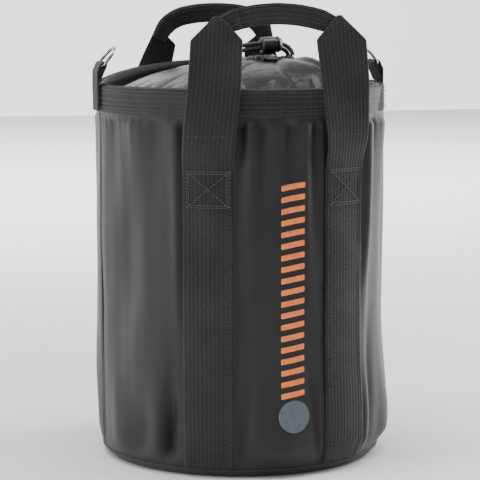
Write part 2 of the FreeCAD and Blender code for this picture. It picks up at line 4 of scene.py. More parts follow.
import bmesh
import bpy
import numpy as np
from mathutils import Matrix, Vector


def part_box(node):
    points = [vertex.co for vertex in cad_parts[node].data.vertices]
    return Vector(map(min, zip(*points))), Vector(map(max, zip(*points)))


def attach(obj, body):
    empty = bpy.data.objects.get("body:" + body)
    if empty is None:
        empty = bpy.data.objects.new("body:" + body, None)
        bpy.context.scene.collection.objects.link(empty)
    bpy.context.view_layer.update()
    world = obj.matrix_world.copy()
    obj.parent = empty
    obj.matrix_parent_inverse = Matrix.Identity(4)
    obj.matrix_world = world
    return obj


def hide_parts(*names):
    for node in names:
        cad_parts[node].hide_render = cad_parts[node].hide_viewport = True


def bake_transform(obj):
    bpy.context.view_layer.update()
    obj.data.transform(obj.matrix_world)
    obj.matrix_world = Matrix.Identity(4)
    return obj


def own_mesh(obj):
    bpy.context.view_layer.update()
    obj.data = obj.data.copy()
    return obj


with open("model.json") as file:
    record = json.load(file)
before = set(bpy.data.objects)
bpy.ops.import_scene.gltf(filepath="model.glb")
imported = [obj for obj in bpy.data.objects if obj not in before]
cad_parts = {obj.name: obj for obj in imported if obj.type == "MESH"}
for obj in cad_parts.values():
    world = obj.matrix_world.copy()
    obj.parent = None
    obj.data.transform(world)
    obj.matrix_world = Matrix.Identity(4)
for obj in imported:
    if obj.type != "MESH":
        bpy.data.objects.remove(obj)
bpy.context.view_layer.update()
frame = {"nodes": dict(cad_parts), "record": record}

MM = 0.001

# Driving sizes, from the CAD frame, in metres.
PANEL_LOW, PANEL_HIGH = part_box("front_panel")
WALL = PANEL_HIGH[0]
RIM = PANEL_HIGH[2]
REAR_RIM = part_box("rear_panel")[1][2]
SEAM = PANEL_LOW[2]
STITCH_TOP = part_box("front_left_strap")[1][2]
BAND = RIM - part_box("left_tab_base")[0][2]
GRIP_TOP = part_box("front_handle_top")[1][2]
HEM_LOW, HEM_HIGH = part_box("collar_hem")
MOUTH = np.array([(HEM_LOW[0] + HEM_HIGH[0]) / 2, (HEM_LOW[1] + HEM_HIGH[1]) / 2, HEM_LOW[2]])

# Sizes that no box of the frame states.
STRAP = 50 * MM
STRAP_ANGLE = 28.0
CORNER = 35 * MM
SEAM_RADIUS = 143 * MM
COLLAR_FOOT = 140.3 * MM
CORD_SIZE = 4.5 * MM
BRAID_PITCH = 22 * MM
WALL_GAUGE = 1.2 * MM
BAND_GAUGE = 1.9 * MM
STRAP_GAUGE = 1.8 * MM
TAB_GAUGE = 1.7 * MM
TAPE_GAUGE = 1 * MM
COLLAR_GAUGE = 0.35 * MM
STITCH_PITCH = 3.4 * MM
STITCH_LENGTH = 2.6 * MM
WEAVE_PITCH = 1.5 * MM

# Each handle's name, with 1 in front or -1 at the rear, and the heights of their folds.
HANDLES = (("front", 1), ("rear", -1))
FOLDS = {heading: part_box(f"{end}_handle_top")[0][2] - MM for end, heading in HANDLES}
SIDES = (("left", -1), ("right", 1))


# ---- small maths

def smooth(x, low, high):
    t = np.clip((np.asarray(x, float) - low) / (high - low), 0, 1)
    return t * t * (3 - 2 * t)


def bell(x, middle, width):
    return np.exp(-((np.asarray(x, float) - middle) / width) ** 2)


def eased(x, stations, values, reach):
    """Straight runs between stations, rounded over the given reach."""
    offsets = np.linspace(-reach, reach, 9)
    return sum(np.interp(np.asarray(x, float) + o, stations, values) for o in offsets) / len(offsets)


rng = np.random.default_rng(7)
WAVES = rng.uniform(-1, 1, (24, 3))
PHASES = rng.uniform(0, 2 * math.pi, 24)


def ripple(x, y, seed=0, octaves=4):
    """Smooth seeded noise of two numbers, about -1 to 1."""
    total, weight = 0, 0
    for k in range(octaves * 3):
        scale = 1.9 ** (k // 3)
        wave = WAVES[(k + 5 * seed) % 24]
        angle = math.pi * wave[0]
        share = 1 / scale
        total = total + share * np.sin(
            scale * (math.cos(angle) * x + math.sin(angle) * y) * (1 + 0.3 * wave[1])
            + PHASES[(k + 7 * seed) % 24])
        weight += share
    return total / weight * 1.8


def smooth_line(x, low, high):
    """A straight ramp with slightly rounded ends."""
    offsets = np.linspace(-0.0012, 0.0012, 5)
    return sum(np.clip((x + o - low) / (high - low), 0, 1) for o in offsets) / len(offsets)


def around(count):
    """The angles of a full turn, in radians."""
    return np.linspace(0, 2 * math.pi, count, endpoint=False)


def grid(rows, columns):
    """Two arrays that hold every pair of the given values."""
    return np.meshgrid(rows, columns, indexing="ij")


def on_circle(radius, turn, z):
    """Points at a radius, a turn from the front towards +X in radians, and a height."""
    return np.stack(np.broadcast_arrays(radius * np.sin(turn), -radius * np.cos(turn), z), -1)


def around_mouth(radius, turn, rise):
    """Points round the gathered mouth, with their turn from +X and their height above its foot."""
    return MOUTH + np.stack(np.broadcast_arrays(radius * np.cos(turn), radius * np.sin(turn), rise), -1)


def travelled(path):
    """How far along a path each of its points lies."""
    return np.r_[0, np.cumsum(np.linalg.norm(np.diff(path, axis=0), axis=1))]


def points_at(path, places):
    """The points of a path at given distances along it."""
    steps = travelled(path)
    return np.stack([np.interp(places, steps, path[:, k]) for k in range(3)], -1)


def resampled(path, step):
    length = travelled(path)[-1]
    return points_at(path, np.linspace(0, length, max(int(length / step), 8)))


def unit(v):
    return v / np.maximum(np.linalg.norm(v, axis=-1, keepdims=True), 1e-12)


def grid_normals(points, loop=False):
    """Normals of a grid of points, rows along the first axis."""
    if loop:
        along = np.roll(points, -1, 0) - np.roll(points, 1, 0)
    else:
        along = np.gradient(points, axis=0)
    return unit(np.cross(np.gradient(points, axis=1), along))


# ---- mesh makers

def mesh_object(name, verts, faces, material, coords=None):
    mesh = bpy.data.meshes.new(name)
    mesh.from_pydata(np.asarray(verts, float).reshape(-1, 3).tolist(), [], faces)
    if coords is not None:
        layer = mesh.attributes.new("cloth", "FLOAT_VECTOR", "POINT")
        layer.data.foreach_set("vector", np.asarray(coords, np.float32).reshape(-1))
    mesh.validate()
    mesh.polygons.foreach_set("use_smooth", [True] * len(mesh.polygons))
    mesh.materials.append(material)
    obj = bpy.data.objects.new(name, mesh)
    bpy.context.scene.collection.objects.link(obj)
    return obj


def quads(rows, columns, loop_rows=False, loop_columns=False):
    faces = []
    for i in range(rows if loop_rows else rows - 1):
        for j in range(columns if loop_columns else columns - 1):
            a, b = i * columns + j, i * columns + (j + 1) % columns
            c = ((i + 1) % rows) * columns + (j + 1) % columns
            d = ((i + 1) % rows) * columns + j
            faces.append((a, b, c, d))
    return faces


def slab(name, points, gauge, along, across, material, loop=False, swell=None):
    """A woven strip: a grid of points, thickened outwards by gauge, with rounded edges.
    along and across are each point's place on the strip, in metres, for its weave."""
    rows, columns = points.shape[:2]
    outward = grid_normals(points, loop)
    thick = np.full((rows, columns, 1), gauge) if swell is None else gauge + swell[..., None]
    top = points + outward * thick
    side = unit(np.gradient(points, axis=1))
    first = (points[:, :1] + top[:, :1]) / 2 - side[:, :1] * thick[:, :1] * 0.4
    last = (points[:, -1:] + top[:, -1:]) / 2 + side[:, -1:] * thick[:, -1:] * 0.4
    ring = np.concatenate([top, last, points[:, ::-1], first], axis=1)
    lay = np.stack([along, across, np.ones_like(along)], -1)
    under = lay.copy()
    under[..., 2] = -1
    coords = np.concatenate([lay, lay[:, -1:], under[:, ::-1], lay[:, :1]], axis=1)
    count = ring.shape[1]
    faces = quads(rows, count, loop, True)
    if not loop:
        for base, order in ((0, 1), ((rows - 1) * count, -1)):
            for j in range(columns - 1):
                low_a, low_b = base + 2 * columns - j, base + 2 * columns - j - 1
                faces.append((base + j, base + j + 1, low_b, low_a)[::order])
            faces.append((base, base + 2 * columns, base + 2 * columns + 1)[::-order])
            faces.append((base + columns - 1, base + columns, base + columns + 1)[::order])
    return mesh_object(name, ring, faces, material, coords)


def tube(name, path, radius, material, sides=16, loop=False, braid=0.0):
    """A round tube along a path, with an optional plaited surface."""
    path = np.asarray(path, float)
    count = len(path)
    tangent = unit(np.roll(path, -1, 0) - np.roll(path, 1, 0) if loop else np.gradient(path, axis=0))
    normal = np.zeros_like(path)
    seed = np.array([0.0, 0.0, 1.0]) if abs(tangent[0][2]) < 0.9 else np.array([1.0, 0.0, 0.0])
    normal[0] = unit(np.cross(tangent[0], seed))
    for i in range(1, count):
        normal[i] = unit(normal[i - 1] - tangent[i] * normal[i - 1].dot(tangent[i]))
    binormal = np.cross(tangent, normal)
    steps = travelled(path)
    angle = around(sides)[None, :]
    turn = 2 * math.pi * steps[:, None] / BRAID_PITCH
    weave = np.maximum(np.abs(np.sin(3 * (angle + turn))), np.abs(np.sin(3 * (angle - turn))))
    size = np.asarray(radius, float).reshape(-1, 1) * np.ones((count, 1)) + braid * (weave - 0.7)
    ring = path[:, None] + size[..., None] * (
        np.cos(angle)[..., None] * normal[:, None] + np.sin(angle)[..., None] * binormal[:, None])
    faces = quads(count, sides, loop, True)
    if not loop:
        faces.append(tuple(range(sides)))
        faces.append(tuple((count - 1) * sides + k for k in range(sides))[::-1])
    coords = np.stack([np.broadcast_to(steps[:, None], size.shape), angle + 0 * size, 0 * size], -1)
    return mesh_object(name, ring, faces, material, coords)


def joined(name, parts):
    """One object made of several, all with the same material."""
    with bpy.context.temp_override(active_object=parts[0], selected_editable_objects=parts):
        bpy.ops.object.join()
    parts[0].name = name
    return parts[0]


def finish_piece(obj, body, slot, *nodes):
    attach(obj, body)
    if nodes:
        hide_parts(*nodes)


def stitches(name, lines, material, body="bag", slot="webbing", size=0.34 * MM):
    """Sewing thread: a row of small grains along each line of points, lying on the cloth."""
    shape_z = np.array([-0.5, -0.28, 0.0, 0.28, 0.5]) * STITCH_LENGTH
    shape_r = np.array([0.25, 0.85, 1.0, 0.85, 0.25]) * size
    rings, sides = len(shape_z), 5
    verts, faces = [], []
    for line in lines:
        places = np.arange(STITCH_PITCH / 2, travelled(line)[-1], STITCH_PITCH)
        way = unit(points_at(line, places + STITCH_PITCH / 4) - points_at(line, places - STITCH_PITCH / 4))
        seed = np.where(np.abs(way[:, 2:3]) < 0.9, [[0.0, 0.0, 1.0]], [[1.0, 0.0, 0.0]])
        one = unit(np.cross(way, seed))
        two = np.cross(way, one)
        for spot, w, a, b in zip(points_at(line, places), way, one, two):
            base = len(verts)
            for z, r in zip(shape_z, shape_r):
                for k in range(sides):
                    t = 2 * math.pi * k / sides
                    verts.append(spot + w * z + a * (r * math.cos(t)) + b * (r * math.sin(t)))
            faces += [tuple(base + v for v in face) for face in quads(rings, sides, False, True)]
            faces.append(tuple(base + k for k in range(sides))[::-1])
            faces.append(tuple(base + (rings - 1) * sides + k for k in range(sides)))
    finish_piece(mesh_object(name, verts, faces, material), body, slot)


# ---- materials

class Nodes:
    """A short way to write a material's nodes."""

    def __init__(self, name, **sockets):
        self.material = bpy.data.materials.new(name)
        self.material.use_nodes = True
        self.tree = self.material.node_tree
        self.shader = self.tree.nodes["Principled BSDF"]
        for key, value in sockets.items():
            self.shader.inputs[key.replace("_", " ")].default_value = value

    def add(self, kind, links=(), **values):
        node = self.tree.nodes.new(kind)
        for key, value in values.items():
            setattr(node, key, value)
        for socket, source in dict(links).items():
            if isinstance(source, (int, float, tuple)):
                node.inputs[socket].default_value = source
            else:
                self.tree.links.new(source, node.inputs[socket])
        return node.outputs[0]

    def maths(self, operation, *inputs):
        return self.add("ShaderNodeMath", dict(enumerate(inputs)), operation=operation)

    def times(self, *factors):
        return self.maths("MULTIPLY", *factors)

    def plus(self, *terms):
        return self.maths("ADD", *terms)

    def sine(self, angle):
        return self.maths("SINE", angle)

    def plain_weave(self, part):
        """Warp over weft, from a strip's own coordinates."""
        turns = 2 * math.pi / WEAVE_PITCH
        return self.times(self.sine(self.times(part[0], turns)), self.sine(self.times(part[1], turns)))

    def place(self):
        """The strip's own coordinates: along, across and face, in metres."""
        source = self.add("ShaderNodeAttribute", attribute_name="cloth").node.outputs["Vector"]
        split = self.tree.nodes.new("ShaderNodeSeparateXYZ")
        self.tree.links.new(source, split.inputs[0])
        return source, split.outputs

    def object_place(self):
        return self.add("ShaderNodeTexCoord").node.outputs["Object"]

    def noise(self, where, scale, detail=3.0, rough=0.55):
        return self.add("ShaderNodeTexNoise", {
            "Vector": where, "Scale": scale, "Detail": detail, "Roughness": rough})

    def ramp(self, factor, stops):
        out = self.add("ShaderNodeValToRGB", {"Fac": factor})
        elements = out.node.color_ramp.elements
        while len(elements) < len(stops):
            elements.new(0.5)
        for element, (position, colour) in zip(elements, stops):
            element.position = position
            element.color = (*colour, 1)
        return out

    def bump(self, height, strength, distance):
        return self.add("ShaderNodeBump", {
            "Height": height, "Strength": strength, "Distance": distance})

    def link(self, socket, source):
        self.tree.links.new(source, self.shader.inputs[socket])

    def colour(self, factor, *stops):
        self.link("Base Color", self.ramp(factor, stops))

    def done(self, normal):
        self.link("Normal", normal)
        return self.material


def grey(value):
    return (value, value * 1.03, value * 1.06)


def coated_fabric(name, dark, light, roughness):
    """Coated polyester: a plain weave, faint mottling and a soft gloss."""
    n = Nodes(name, Roughness=roughness, Sheen_Weight=0.08, Sheen_Roughness=0.4, Specular_IOR_Level=0.4)
    where, part = n.place()
    weave = n.plain_weave(part)
    soft = n.noise(where, 14.0, 5.0)
    slub = n.noise(where, 420.0, 2.0)
    tone = n.plus(n.times(soft, 0.6), n.plus(n.times(slub, 0.3), n.times(weave, 0.08)))
    n.colour(tone, (0.28, dark), (0.68, light))
    n.link("Roughness", n.plus(n.times(slub, 0.2), roughness - 0.1))
    height = n.plus(n.times(weave, 0.7), n.times(slub, 0.9))
    return n.done(n.bump(height, 0.8, 0.22 * MM))


def webbing(name, dark, light, pitch=4.2 * MM, rib=2.0 * MM):
    """Herringbone webbing: columns of slanted ribs that change direction, with a dotted line between."""
    n = Nodes(name, Roughness=0.8, Sheen_Weight=0.12, Sheen_Roughness=0.5, Specular_IOR_Level=0.18)
    where, part = n.place()
    column = n.times(part[1], 1 / pitch)
    zigzag = n.maths("PINGPONG", column, 1.0)
    slant = n.plus(part[0], n.times(zigzag, 1.6 * MM))
    ribs = n.sine(n.times(slant, 2 * math.pi / rib))
    edge = n.maths("ABSOLUTE", n.sine(n.times(column, math.pi)))
    groove = n.maths("POWER", n.maths("SUBTRACT", 1.0, edge), 3.0)
    dots = n.times(groove, n.maths("MAXIMUM", ribs, 0.0))
    fuzz = n.noise(where, 900.0, 2.0)
    soft = n.noise(where, 22.0, 3.0)
    body = n.plus(n.times(ribs, 0.14), n.times(dots, 0.75))
    tone = n.plus(body, n.plus(n.times(fuzz, 0.35), n.times(soft, 0.3)))
    n.colour(tone, (0.1, dark), (0.95, light))
    height = n.plus(n.times(ribs, 0.5), n.plus(n.times(edge, 0.9), n.times(fuzz, 0.6)))
    return n.done(n.bump(height, 0.8, 0.4 * MM))


def thin_nylon(name, dark, light):
    """Thin calendered nylon: shiny, with a fine crinkle."""
    n = Nodes(name, Roughness=0.3, Specular_IOR_Level=0.32)
    where = n.object_place()
    crinkle = n.noise(where, 90.0, 5.0, 0.6)
    soft = n.noise(where, 24.0, 3.0)
    fine = n.noise(where, 2200.0, 1.0)
    n.colour(soft, (0.3, dark), (0.7, light))
    n.link("Roughness", n.plus(n.times(crinkle, 0.25), 0.16))
    height = n.plus(crinkle, n.times(fine, 0.05))
    return n.done(n.bump(height, 0.55, 2.2 * MM))


def thread(name, tone):
    n = Nodes(name, Roughness=0.55, Sheen_Weight=0.3)
    twist = n.noise(n.object_place(), 1500.0, 2.0)
    n.colour(twist, (0.3, grey(tone * 0.7)), (0.7, grey(tone * 1.3)))
    return n.done(n.bump(twist, 0.4, 0.1 * MM))


def braided(name):
    """A plaited cover: two sets of strands that cross round the cord, with a painted highlight on each
    strand's crest and painted shade in the gaps between strands.
    """
    n = Nodes(name, Roughness=0.55, Sheen_Weight=0.2, Specular_IOR_Level=0.5)
    part = n.place()[1]
    turn = n.times(part[0], 2 * math.pi / BRAID_PITCH)
    strands = [n.maths("ABSOLUTE", n.sine(n.times(n.plus(part[1], lean), 3.0)))
               for lean in (turn, n.times(turn, -1.0))]
    weave = n.maths("MAXIMUM", *strands)
    fibre = n.noise(n.object_place(), 1800.0, 3.0)
    # Painted light: each strand's crest is painted pale grey as a highlight, and the gaps between strands
    # near black as shade.
    tone = n.plus(n.times(n.maths("POWER", weave, 6.0), 0.55), n.times(fibre, 0.45))
    n.colour(tone, (0.45, grey(0.004)), (0.72, grey(0.03)), (0.86, grey(0.22)))
    return n.done(n.bump(n.plus(weave, fibre), 0.7, 0.4 * MM))


def moulded(name, tone, roughness):
    n = Nodes(name, Roughness=roughness, Specular_IOR_Level=0.55)
    where = n.object_place()
    grain = n.noise(where, 1800.0, 2.0)
    scuff = n.noise(where, 130.0, 4.0)
    n.colour(scuff, (0.35, grey(tone)), (0.75, grey(tone * 1.8)))
    n.link("Roughness", n.plus(n.times(scuff, 0.22), roughness - 0.1))
    return n.done(n.bump(grain, 0.15, 0.1 * MM))


def plated(name):
    n = Nodes(name, Metallic=1.0, Roughness=0.24)
    where = n.object_place()
    haze = n.noise(where, 160.0, 4.0)
    scratch = n.noise(where, 1200.0, 3.0)
    n.colour(haze, (0.3, (0.24, 0.235, 0.22)), (0.7, (0.46, 0.455, 0.43)))
    n.link("Roughness", n.plus(n.times(haze, 0.25), 0.12))
    return n.done(n.bump(scratch, 0.1, 0.1 * MM))


def ink(name, colour):
    """Printed film over the weave: flat colour with faint wear."""
    n = Nodes(name, Roughness=0.5)
    where, part = n.place()
    weave = n.plain_weave(part)
    wear = n.noise(where, 160.0, 4.0)
    worn = tuple(0.78 * v for v in colour)
    n.colour(wear, (0.3, worn), (0.55, colour))
    return n.done(n.bump(weave, 0.25, 0.1 * MM))


WALL_CLOTH = coated_fabric("coated_fabric", grey(0.004), grey(0.014), 0.42)
BASE_CLOTH = coated_fabric("base_cloth", grey(0.016), grey(0.03), 0.6)
FACING = coated_fabric("rim_facing_cloth", grey(0.005), grey(0.012), 0.5)
TAPE = webbing("seam_tape", grey(0.006), grey(0.02), 2.4 * MM)
STRAP_WEB = webbing("strap_webbing", grey(0.004), grey(0.075))
BAND_WEB = webbing("band_webbing", grey(0.008), grey(0.075), 4.2 * MM, 1.6 * MM)
NYLON = thin_nylon("collar_nylon", grey(0.003), grey(0.010))
THREAD = thread("thread", 0.012)
RIM_THREAD = thread("rim_thread", 0.008)
STRAP_THREAD = thread("strap_thread", 0.045)
CORD = braided("braided_cord")
PLASTIC = moulded("lock_plastic", 0.016, 0.34)
STEEL = plated("nickel_plate")
ORANGE = ink("orange_ink", (1.0, 0.25, 0.06))
GREY_INK = ink("grey_ink", (0.10, 0.13, 0.145))


# ---- the wall

def profile(z):
    """The wall's radius at a height: upright, then an arc in to the base seam."""
    inset, rise = WALL - SEAM_RADIUS, CORNER - SEAM
    big = (inset * inset + rise * rise) / (2 * inset)
    drop = np.maximum(CORNER - z, 0)
    return WALL - big + np.sqrt(big * big - drop * drop)


def rim_height(y):
    """The rim's height: level in front, climbing on an arc to the rear."""
    rise = REAR_RIM - RIM
    big = (WALL * WALL + rise * rise) / (2 * rise)
    back = np.maximum(np.asarray(y, float), 0)
    return RIM + big - np.sqrt(big * big - back * back)


# angle from the front, half width (degrees), depth (mm), how far it runs down from the rim (m)
RIM_FOLDS = [
    (-16, 2.2, -1.8, 0.10), (-12, 2.4, 2.0, 0.15), (-7, 2.0, -1.2, 0.09), (-2.5, 2.8, 1.5, 0.13),
    (4, 2.2, -1.6, 0.10), (9, 2.6, 2.3, 0.17), (14.5, 2.0, -2.2, 0.11), (41, 3.6, 3.4, 0.16),
    (48, 3.0, -2.2, 0.12), (56, 4.5, 2.2, 0.14), (70, 4.0, -1.6, 0.10), (-42, 3.2, 1.8, 0.10),
    (-50, 4.0, -1.6, 0.12), (-62, 5.0, 1.8, 0.16), (-76, 4.0, -1.4, 0.09), (105, 4.0, 1.8, 0.12),
    (118, 4.0, -1.8, 0.14), (131, 3.6, 2.2, 0.12), (139, 3.0, -2.0, 0.10), (167, 3.0, 2.0, 0.14),
    (174, 2.6, -1.8, 0.10), (-177, 3.4, 2.0, 0.15), (-168, 3.0, -1.8, 0.12), (-138, 3.6, 2.2, 0.13),
    (-127, 4.0, -1.6, 0.12), (-112, 4.6, 1.8, 0.14), (-100, 4.0, -1.4, 0.10)]
# angle, height, half width (degrees), half height (m), depth (mm), slope (degrees per metre)
DENTS = [
    (-45, 0.035, 2.4, 0.040, -4.2, 30), (-50, 0.05, 5.0, 0.055, 2.2, 20), (-60, 0.03, 6.0, 0.03, -1.8, 90),
    (-74, 0.04, 6.0, 0.05, 1.6, -60), (41, 0.05, 3.0, 0.06, 2.4, 0), (47, 0.09, 3.0, 0.07, -1.8, 30),
    (60, 0.04, 6.0, 0.05, 2.0, -40), (0, 0.03, 8.0, 0.03, 1.2, 0), (-14, 0.05, 3.0, 0.05, -1.6, 40),
    (15, 0.06, 3.0, 0.06, -1.8, -40), (-40, 0.25, 2.5, 0.08, 1.6, 0), (42, 0.24, 3.0, 0.08, 2.2, 0),
    (-66, 0.21, 9.0, 0.10, -2.0, 60), (68, 0.2, 9.0, 0.10, -1.8, -50), (135, 0.05, 5.0, 0.05, -3.0, 40),
    (-135, 0.06, 5.0, 0.05, -3.2, -40), (180, 0.04, 9.0, 0.04, 1.8, 0), (150, 0.2, 8.0, 0.1, 1.6, 30),
    (-152, 0.22, 8.0, 0.1, -1.6, -30), (100, 0.06, 8.0, 0.06, 1.8, 50), (-100, 0.06, 8.0, 0.06, 1.8, -50)]


def angle_gap(a, b):
    return (np.asarray(a, float) - b + 180) % 360 - 180


def strap_hold(angle):
    """1 under a strap, where the webbing keeps the wall flat, and 0 away from it."""
    hold = 0
    for middle in (STRAP_ANGLE, -STRAP_ANGLE, 180 - STRAP_ANGLE, STRAP_ANGLE - 180):
        hold = np.maximum(hold, 1 - smooth(np.abs(angle_gap(angle, middle)), 9.0, 12.5))
    return hold


def relief(angle, z):
    """How far the cloth stands out of, or into, the plain wall, in metres."""
    x = np.radians(angle)
    below = rim_at(angle) - BAND - z
    depth = 0
    for middle, width, size, run in RIM_FOLDS:
        drift = 14 * below * (1 if size > 0 else -1)
        fade = smooth(below, 0.0, 0.012) * np.exp(-np.maximum(below, 0) / run * 1.6)
        depth = depth + size * bell(angle_gap(angle, middle + drift), 0, width * (1 + 2.2 * below)) * fade
    for middle, height, width, tall, size, slope in DENTS:
        depth = depth + size * bell(angle_gap(angle, middle + slope * (z - height)), 0, width) \
            * bell(z, height, tall)
    puckers = 0.55 * np.sin(x * 86 + 2 * ripple(x * 9, z * 20, 3)) * smooth(below, -0.002, 0.006) \
        * np.exp(-np.maximum(below, 0) / 0.016)
    broad = 2.3 * ripple(x * 3.2, z * 11, 1, 2) + 0.9 * ripple(x * 11, z * 30, 2, 3)
    waist = -0.5 * np.sin(np.clip((z - SEAM) / (RIM - SEAM), 0, 1) * math.pi) + 0.8 * bell(z, 0.06, 0.05)
    pinned = smooth(z, SEAM, SEAM + 0.02) * smooth(below, -0.003, 0.012)
    seam_dip = -1.1 * bell(np.abs(angle_gap(angle, 90)) * np.abs(angle_gap(angle, -90)) / 180, 0, 1.3)
    free = 1 - 0.82 * strap_hold(angle)
    lean = 5.0 * np.sin(x) * bell(z, 0.045, 0.06)
    return (free * (2.3 * depth + puckers + broad) + waist + seam_dip + lean) * pinned * MM


def on_wall(angle, z, lift=0.0):
    """A point of the wall at an angle from the front (towards +X) and a height, moved out by lift."""
    angle, z = np.broadcast_arrays(np.asarray(angle, float), np.asarray(z, float))
    return on_circle(profile(z) + relief(angle, z) + lift, np.radians(angle), z)


def wall_grid(angles, rows, lift):
    """Points from the base seam to the rim, with their heights and their places round the wall."""
    share = np.linspace(0, 1, rows)[:, None]
    angle = angles[None, :]
    z = SEAM + share * (rim_at(angle) - SEAM)
    angle, z = np.broadcast_arrays(angle, z)
    return on_wall(angle, z, lift), z, np.radians(angle) * WALL


def rim_at(angle):
    return rim_height(-WALL * np.cos(np.radians(angle)))


def wall_panels():
    for name, middle in (("front_panel", 0), ("rear_panel", 180)):
        angles = middle + np.linspace(-90, 90, 260)
        points, z, across = wall_grid(angles, 190, -WALL_GAUGE)
        panel = slab(f"{name}_cloth", points, WALL_GAUGE, z, across, WALL_CLOTH)
        finish_piece(panel, "bag", "coated_fabric", name)


# The base from its middle to the seam: radius and height, mm.
BASE_SECTION = [
    (0, 0.8), (30, 0.8), (60, 0.7), (90, 0.4), (115, 0.1), (128, 0.0), (134.5, 0.2), (137.5, 0.9),
    (139.5, 2.4), (141.2, 4.4), (142.5, 6.4), (143.4, 7.8)]


def base():
    """The base: a flat disc that turns up to the seam, with a faint sag between its edges."""
    section = np.array(BASE_SECTION) * MM
    rows, columns = 240, len(section) - 1
    turns = around(rows)[:, None]
    radius, height = section[1:, 0], section[1:, 1]
    points = np.stack([radius * np.cos(turns), radius * np.sin(turns), height + 0 * turns], -1)
    inner = points + np.array([0, 0, WALL_GAUGE])
    middle = section[0, 1]
    verts = np.concatenate([points.reshape(-1, 3), inner.reshape(-1, 3),
                            [[0, 0, middle], [0, 0, middle + WALL_GAUGE]]])
    half = rows * columns
    sheet = quads(rows, columns, True)
    faces = [f[::-1] for f in sheet] + [tuple(half + v for v in f) for f in sheet]
    for i in range(rows):
        n = (i + 1) % rows
        faces.append((i * columns, n * columns, 2 * half)[::-1])
        faces.append((half + i * columns, half + n * columns, 2 * half + 1))
        edge, after = i * columns + columns - 1, n * columns + columns - 1
        faces.append((edge, after, half + after, half + edge))
    panel = mesh_object("base_panel_cloth", verts, faces, BASE_CLOTH, verts)
    finish_piece(panel, "bag", "base_fabric", "base_panel")
    bead = on_circle(SEAM_RADIUS + 0.2 * MM, around(360), SEAM + 0.1 * MM)
    finish_piece(tube("base_seam_roll", bead, 1.1 * MM, BASE_CLOTH, 8, True), "bag", "base_fabric")


def inner_tapes():
    """The tapes that cover the seam allowances inside the bag."""
    inside = -3.0 * MM
    levels = np.linspace(SEAM + 2 * MM, SEAM + 14 * MM, 6)
    angle, height = grid(np.linspace(0, 360, 240, endpoint=False), levels)
    points = on_wall(angle, height, inside)
    ring = slab("base_seam_tape", points, TAPE_GAUGE, np.radians(angle) * WALL, height, TAPE, loop=True)
    finish_piece(ring, "bag", "seam_tape", "base_seam_binding")
    levels = np.linspace(SEAM + 15 * MM, RIM - BAND - 5 * MM, 90)
    for side, turn in SIDES:
        height, across = grid(levels, np.linspace(-6, 6, 7) * MM)
        points = on_wall(90 * turn + np.degrees(across / WALL), height, inside)
        strip = slab(f"{side}_seam_tape", points, TAPE_GAUGE, height, across, TAPE)
        finish_piece(strip, "bag", "seam_tape", f"{side}_seam_binding")


# ---- rim

def rim_point(angle, drop, lift):
    """A point on the rim webbing, drop below the rim's edge, moved out by lift."""
    wobble = 0.5 * MM * ripple(np.radians(angle) * 6, drop * 30, 4)
    z = rim_at(angle) - drop
    return on_circle(profile(z) + lift + wobble, np.radians(angle), z)


def rim_webbing():
    """The webbing outside the rim, the rolled facing inside it, and the rows of thread."""
    angle, drop = grid(np.linspace(0, 360, 480, endpoint=False), np.linspace(BAND, -0.3 * MM, 14))
    along = np.radians(angle) * WALL
    points = rim_point(angle, drop, 0.1 * MM)
    band = slab("rim_webbing", points, BAND_GAUGE, along, drop, BAND_WEB, loop=True)
    finish_piece(band, "bag", "webbing", "rim_band")
    points = rim_point(angle, drop, -1.6 * MM - 2.2 * MM)
    roll = 1.6 * MM * bell(drop, 0.004, 0.006)
    points = points - roll[..., None] * unit(points * [1, 1, 0])
    facing = slab("rim_inner_band", points, BAND_GAUGE, along, drop, FACING, loop=True, swell=roll)
    finish_piece(facing, "bag", "rim_facing", "rim_facing")
    turn = np.linspace(0, 360, 700)
    lines = [rim_point(turn, row * MM + 0 * turn, BAND_GAUGE + 0.25 * MM)
             for row in (2.2, 6.0, 11.0, 16.0, 20.0, 22.8)]
    stitches("rim_stitching", lines, RIM_THREAD)


# ---- straps and handles

# The front right leg's middle line, from leg_frame's first station up: metres along X (the last one is at
# the grip), metres along Y up to the fold, and degrees that the leg faces away from the front.
LEG_X = [0.0712, 0.0712, 0.0695, 0.066, 0.0635, 0.0612]
LEG_Y = [-0.1338, -0.1338, -0.1395, -0.1419]
LEG_FACING = [28, 28, 19, 8, 1.5]
LEG_LEAN = math.tan(math.radians(7))
REAR_LEAN = 11 * MM
# How far from the bag's middle the blends across the handles' hinges are centred.
JOIN_LEVEL = STITCH_TOP + 0.030


def leg_frame(z, fold):
    """Centre and across directions of a free leg at a height, for the front right leg."""
    middle = STITCH_TOP + 0.5 * (fold - STITCH_TOP)
    stations = [STITCH_TOP - 0.02, STITCH_TOP, middle, fold, fold + 0.03]
    front = LEG_Y + [LEG_Y[-1] + rise * LEG_LEAN for rise in (0.03, GRIP_TOP - fold)]
    x = eased(z, stations + [GRIP_TOP - 0.012], LEG_X, 0.010)
    y = eased(z, stations + [GRIP_TOP], front, 0.010)
    facing = np.radians(eased(z, stations, LEG_FACING, 0.012))
    return np.stack([x, y, z], -1), np.stack([np.cos(facing), np.sin(facing), 0 * z], -1)


def turned(points, heading):
    """Front pieces turned to the rear by half a turn, where the handle also leans to the right."""
    if heading > 0:
        return points
    points = points * [-1, -1, 1]
    share = np.clip((points[..., 2] - STITCH_TOP) / (GRIP_TOP - STITCH_TOP), 0, 1)
    points[..., 0] += REAR_LEAN * share ** 1.2
    return points


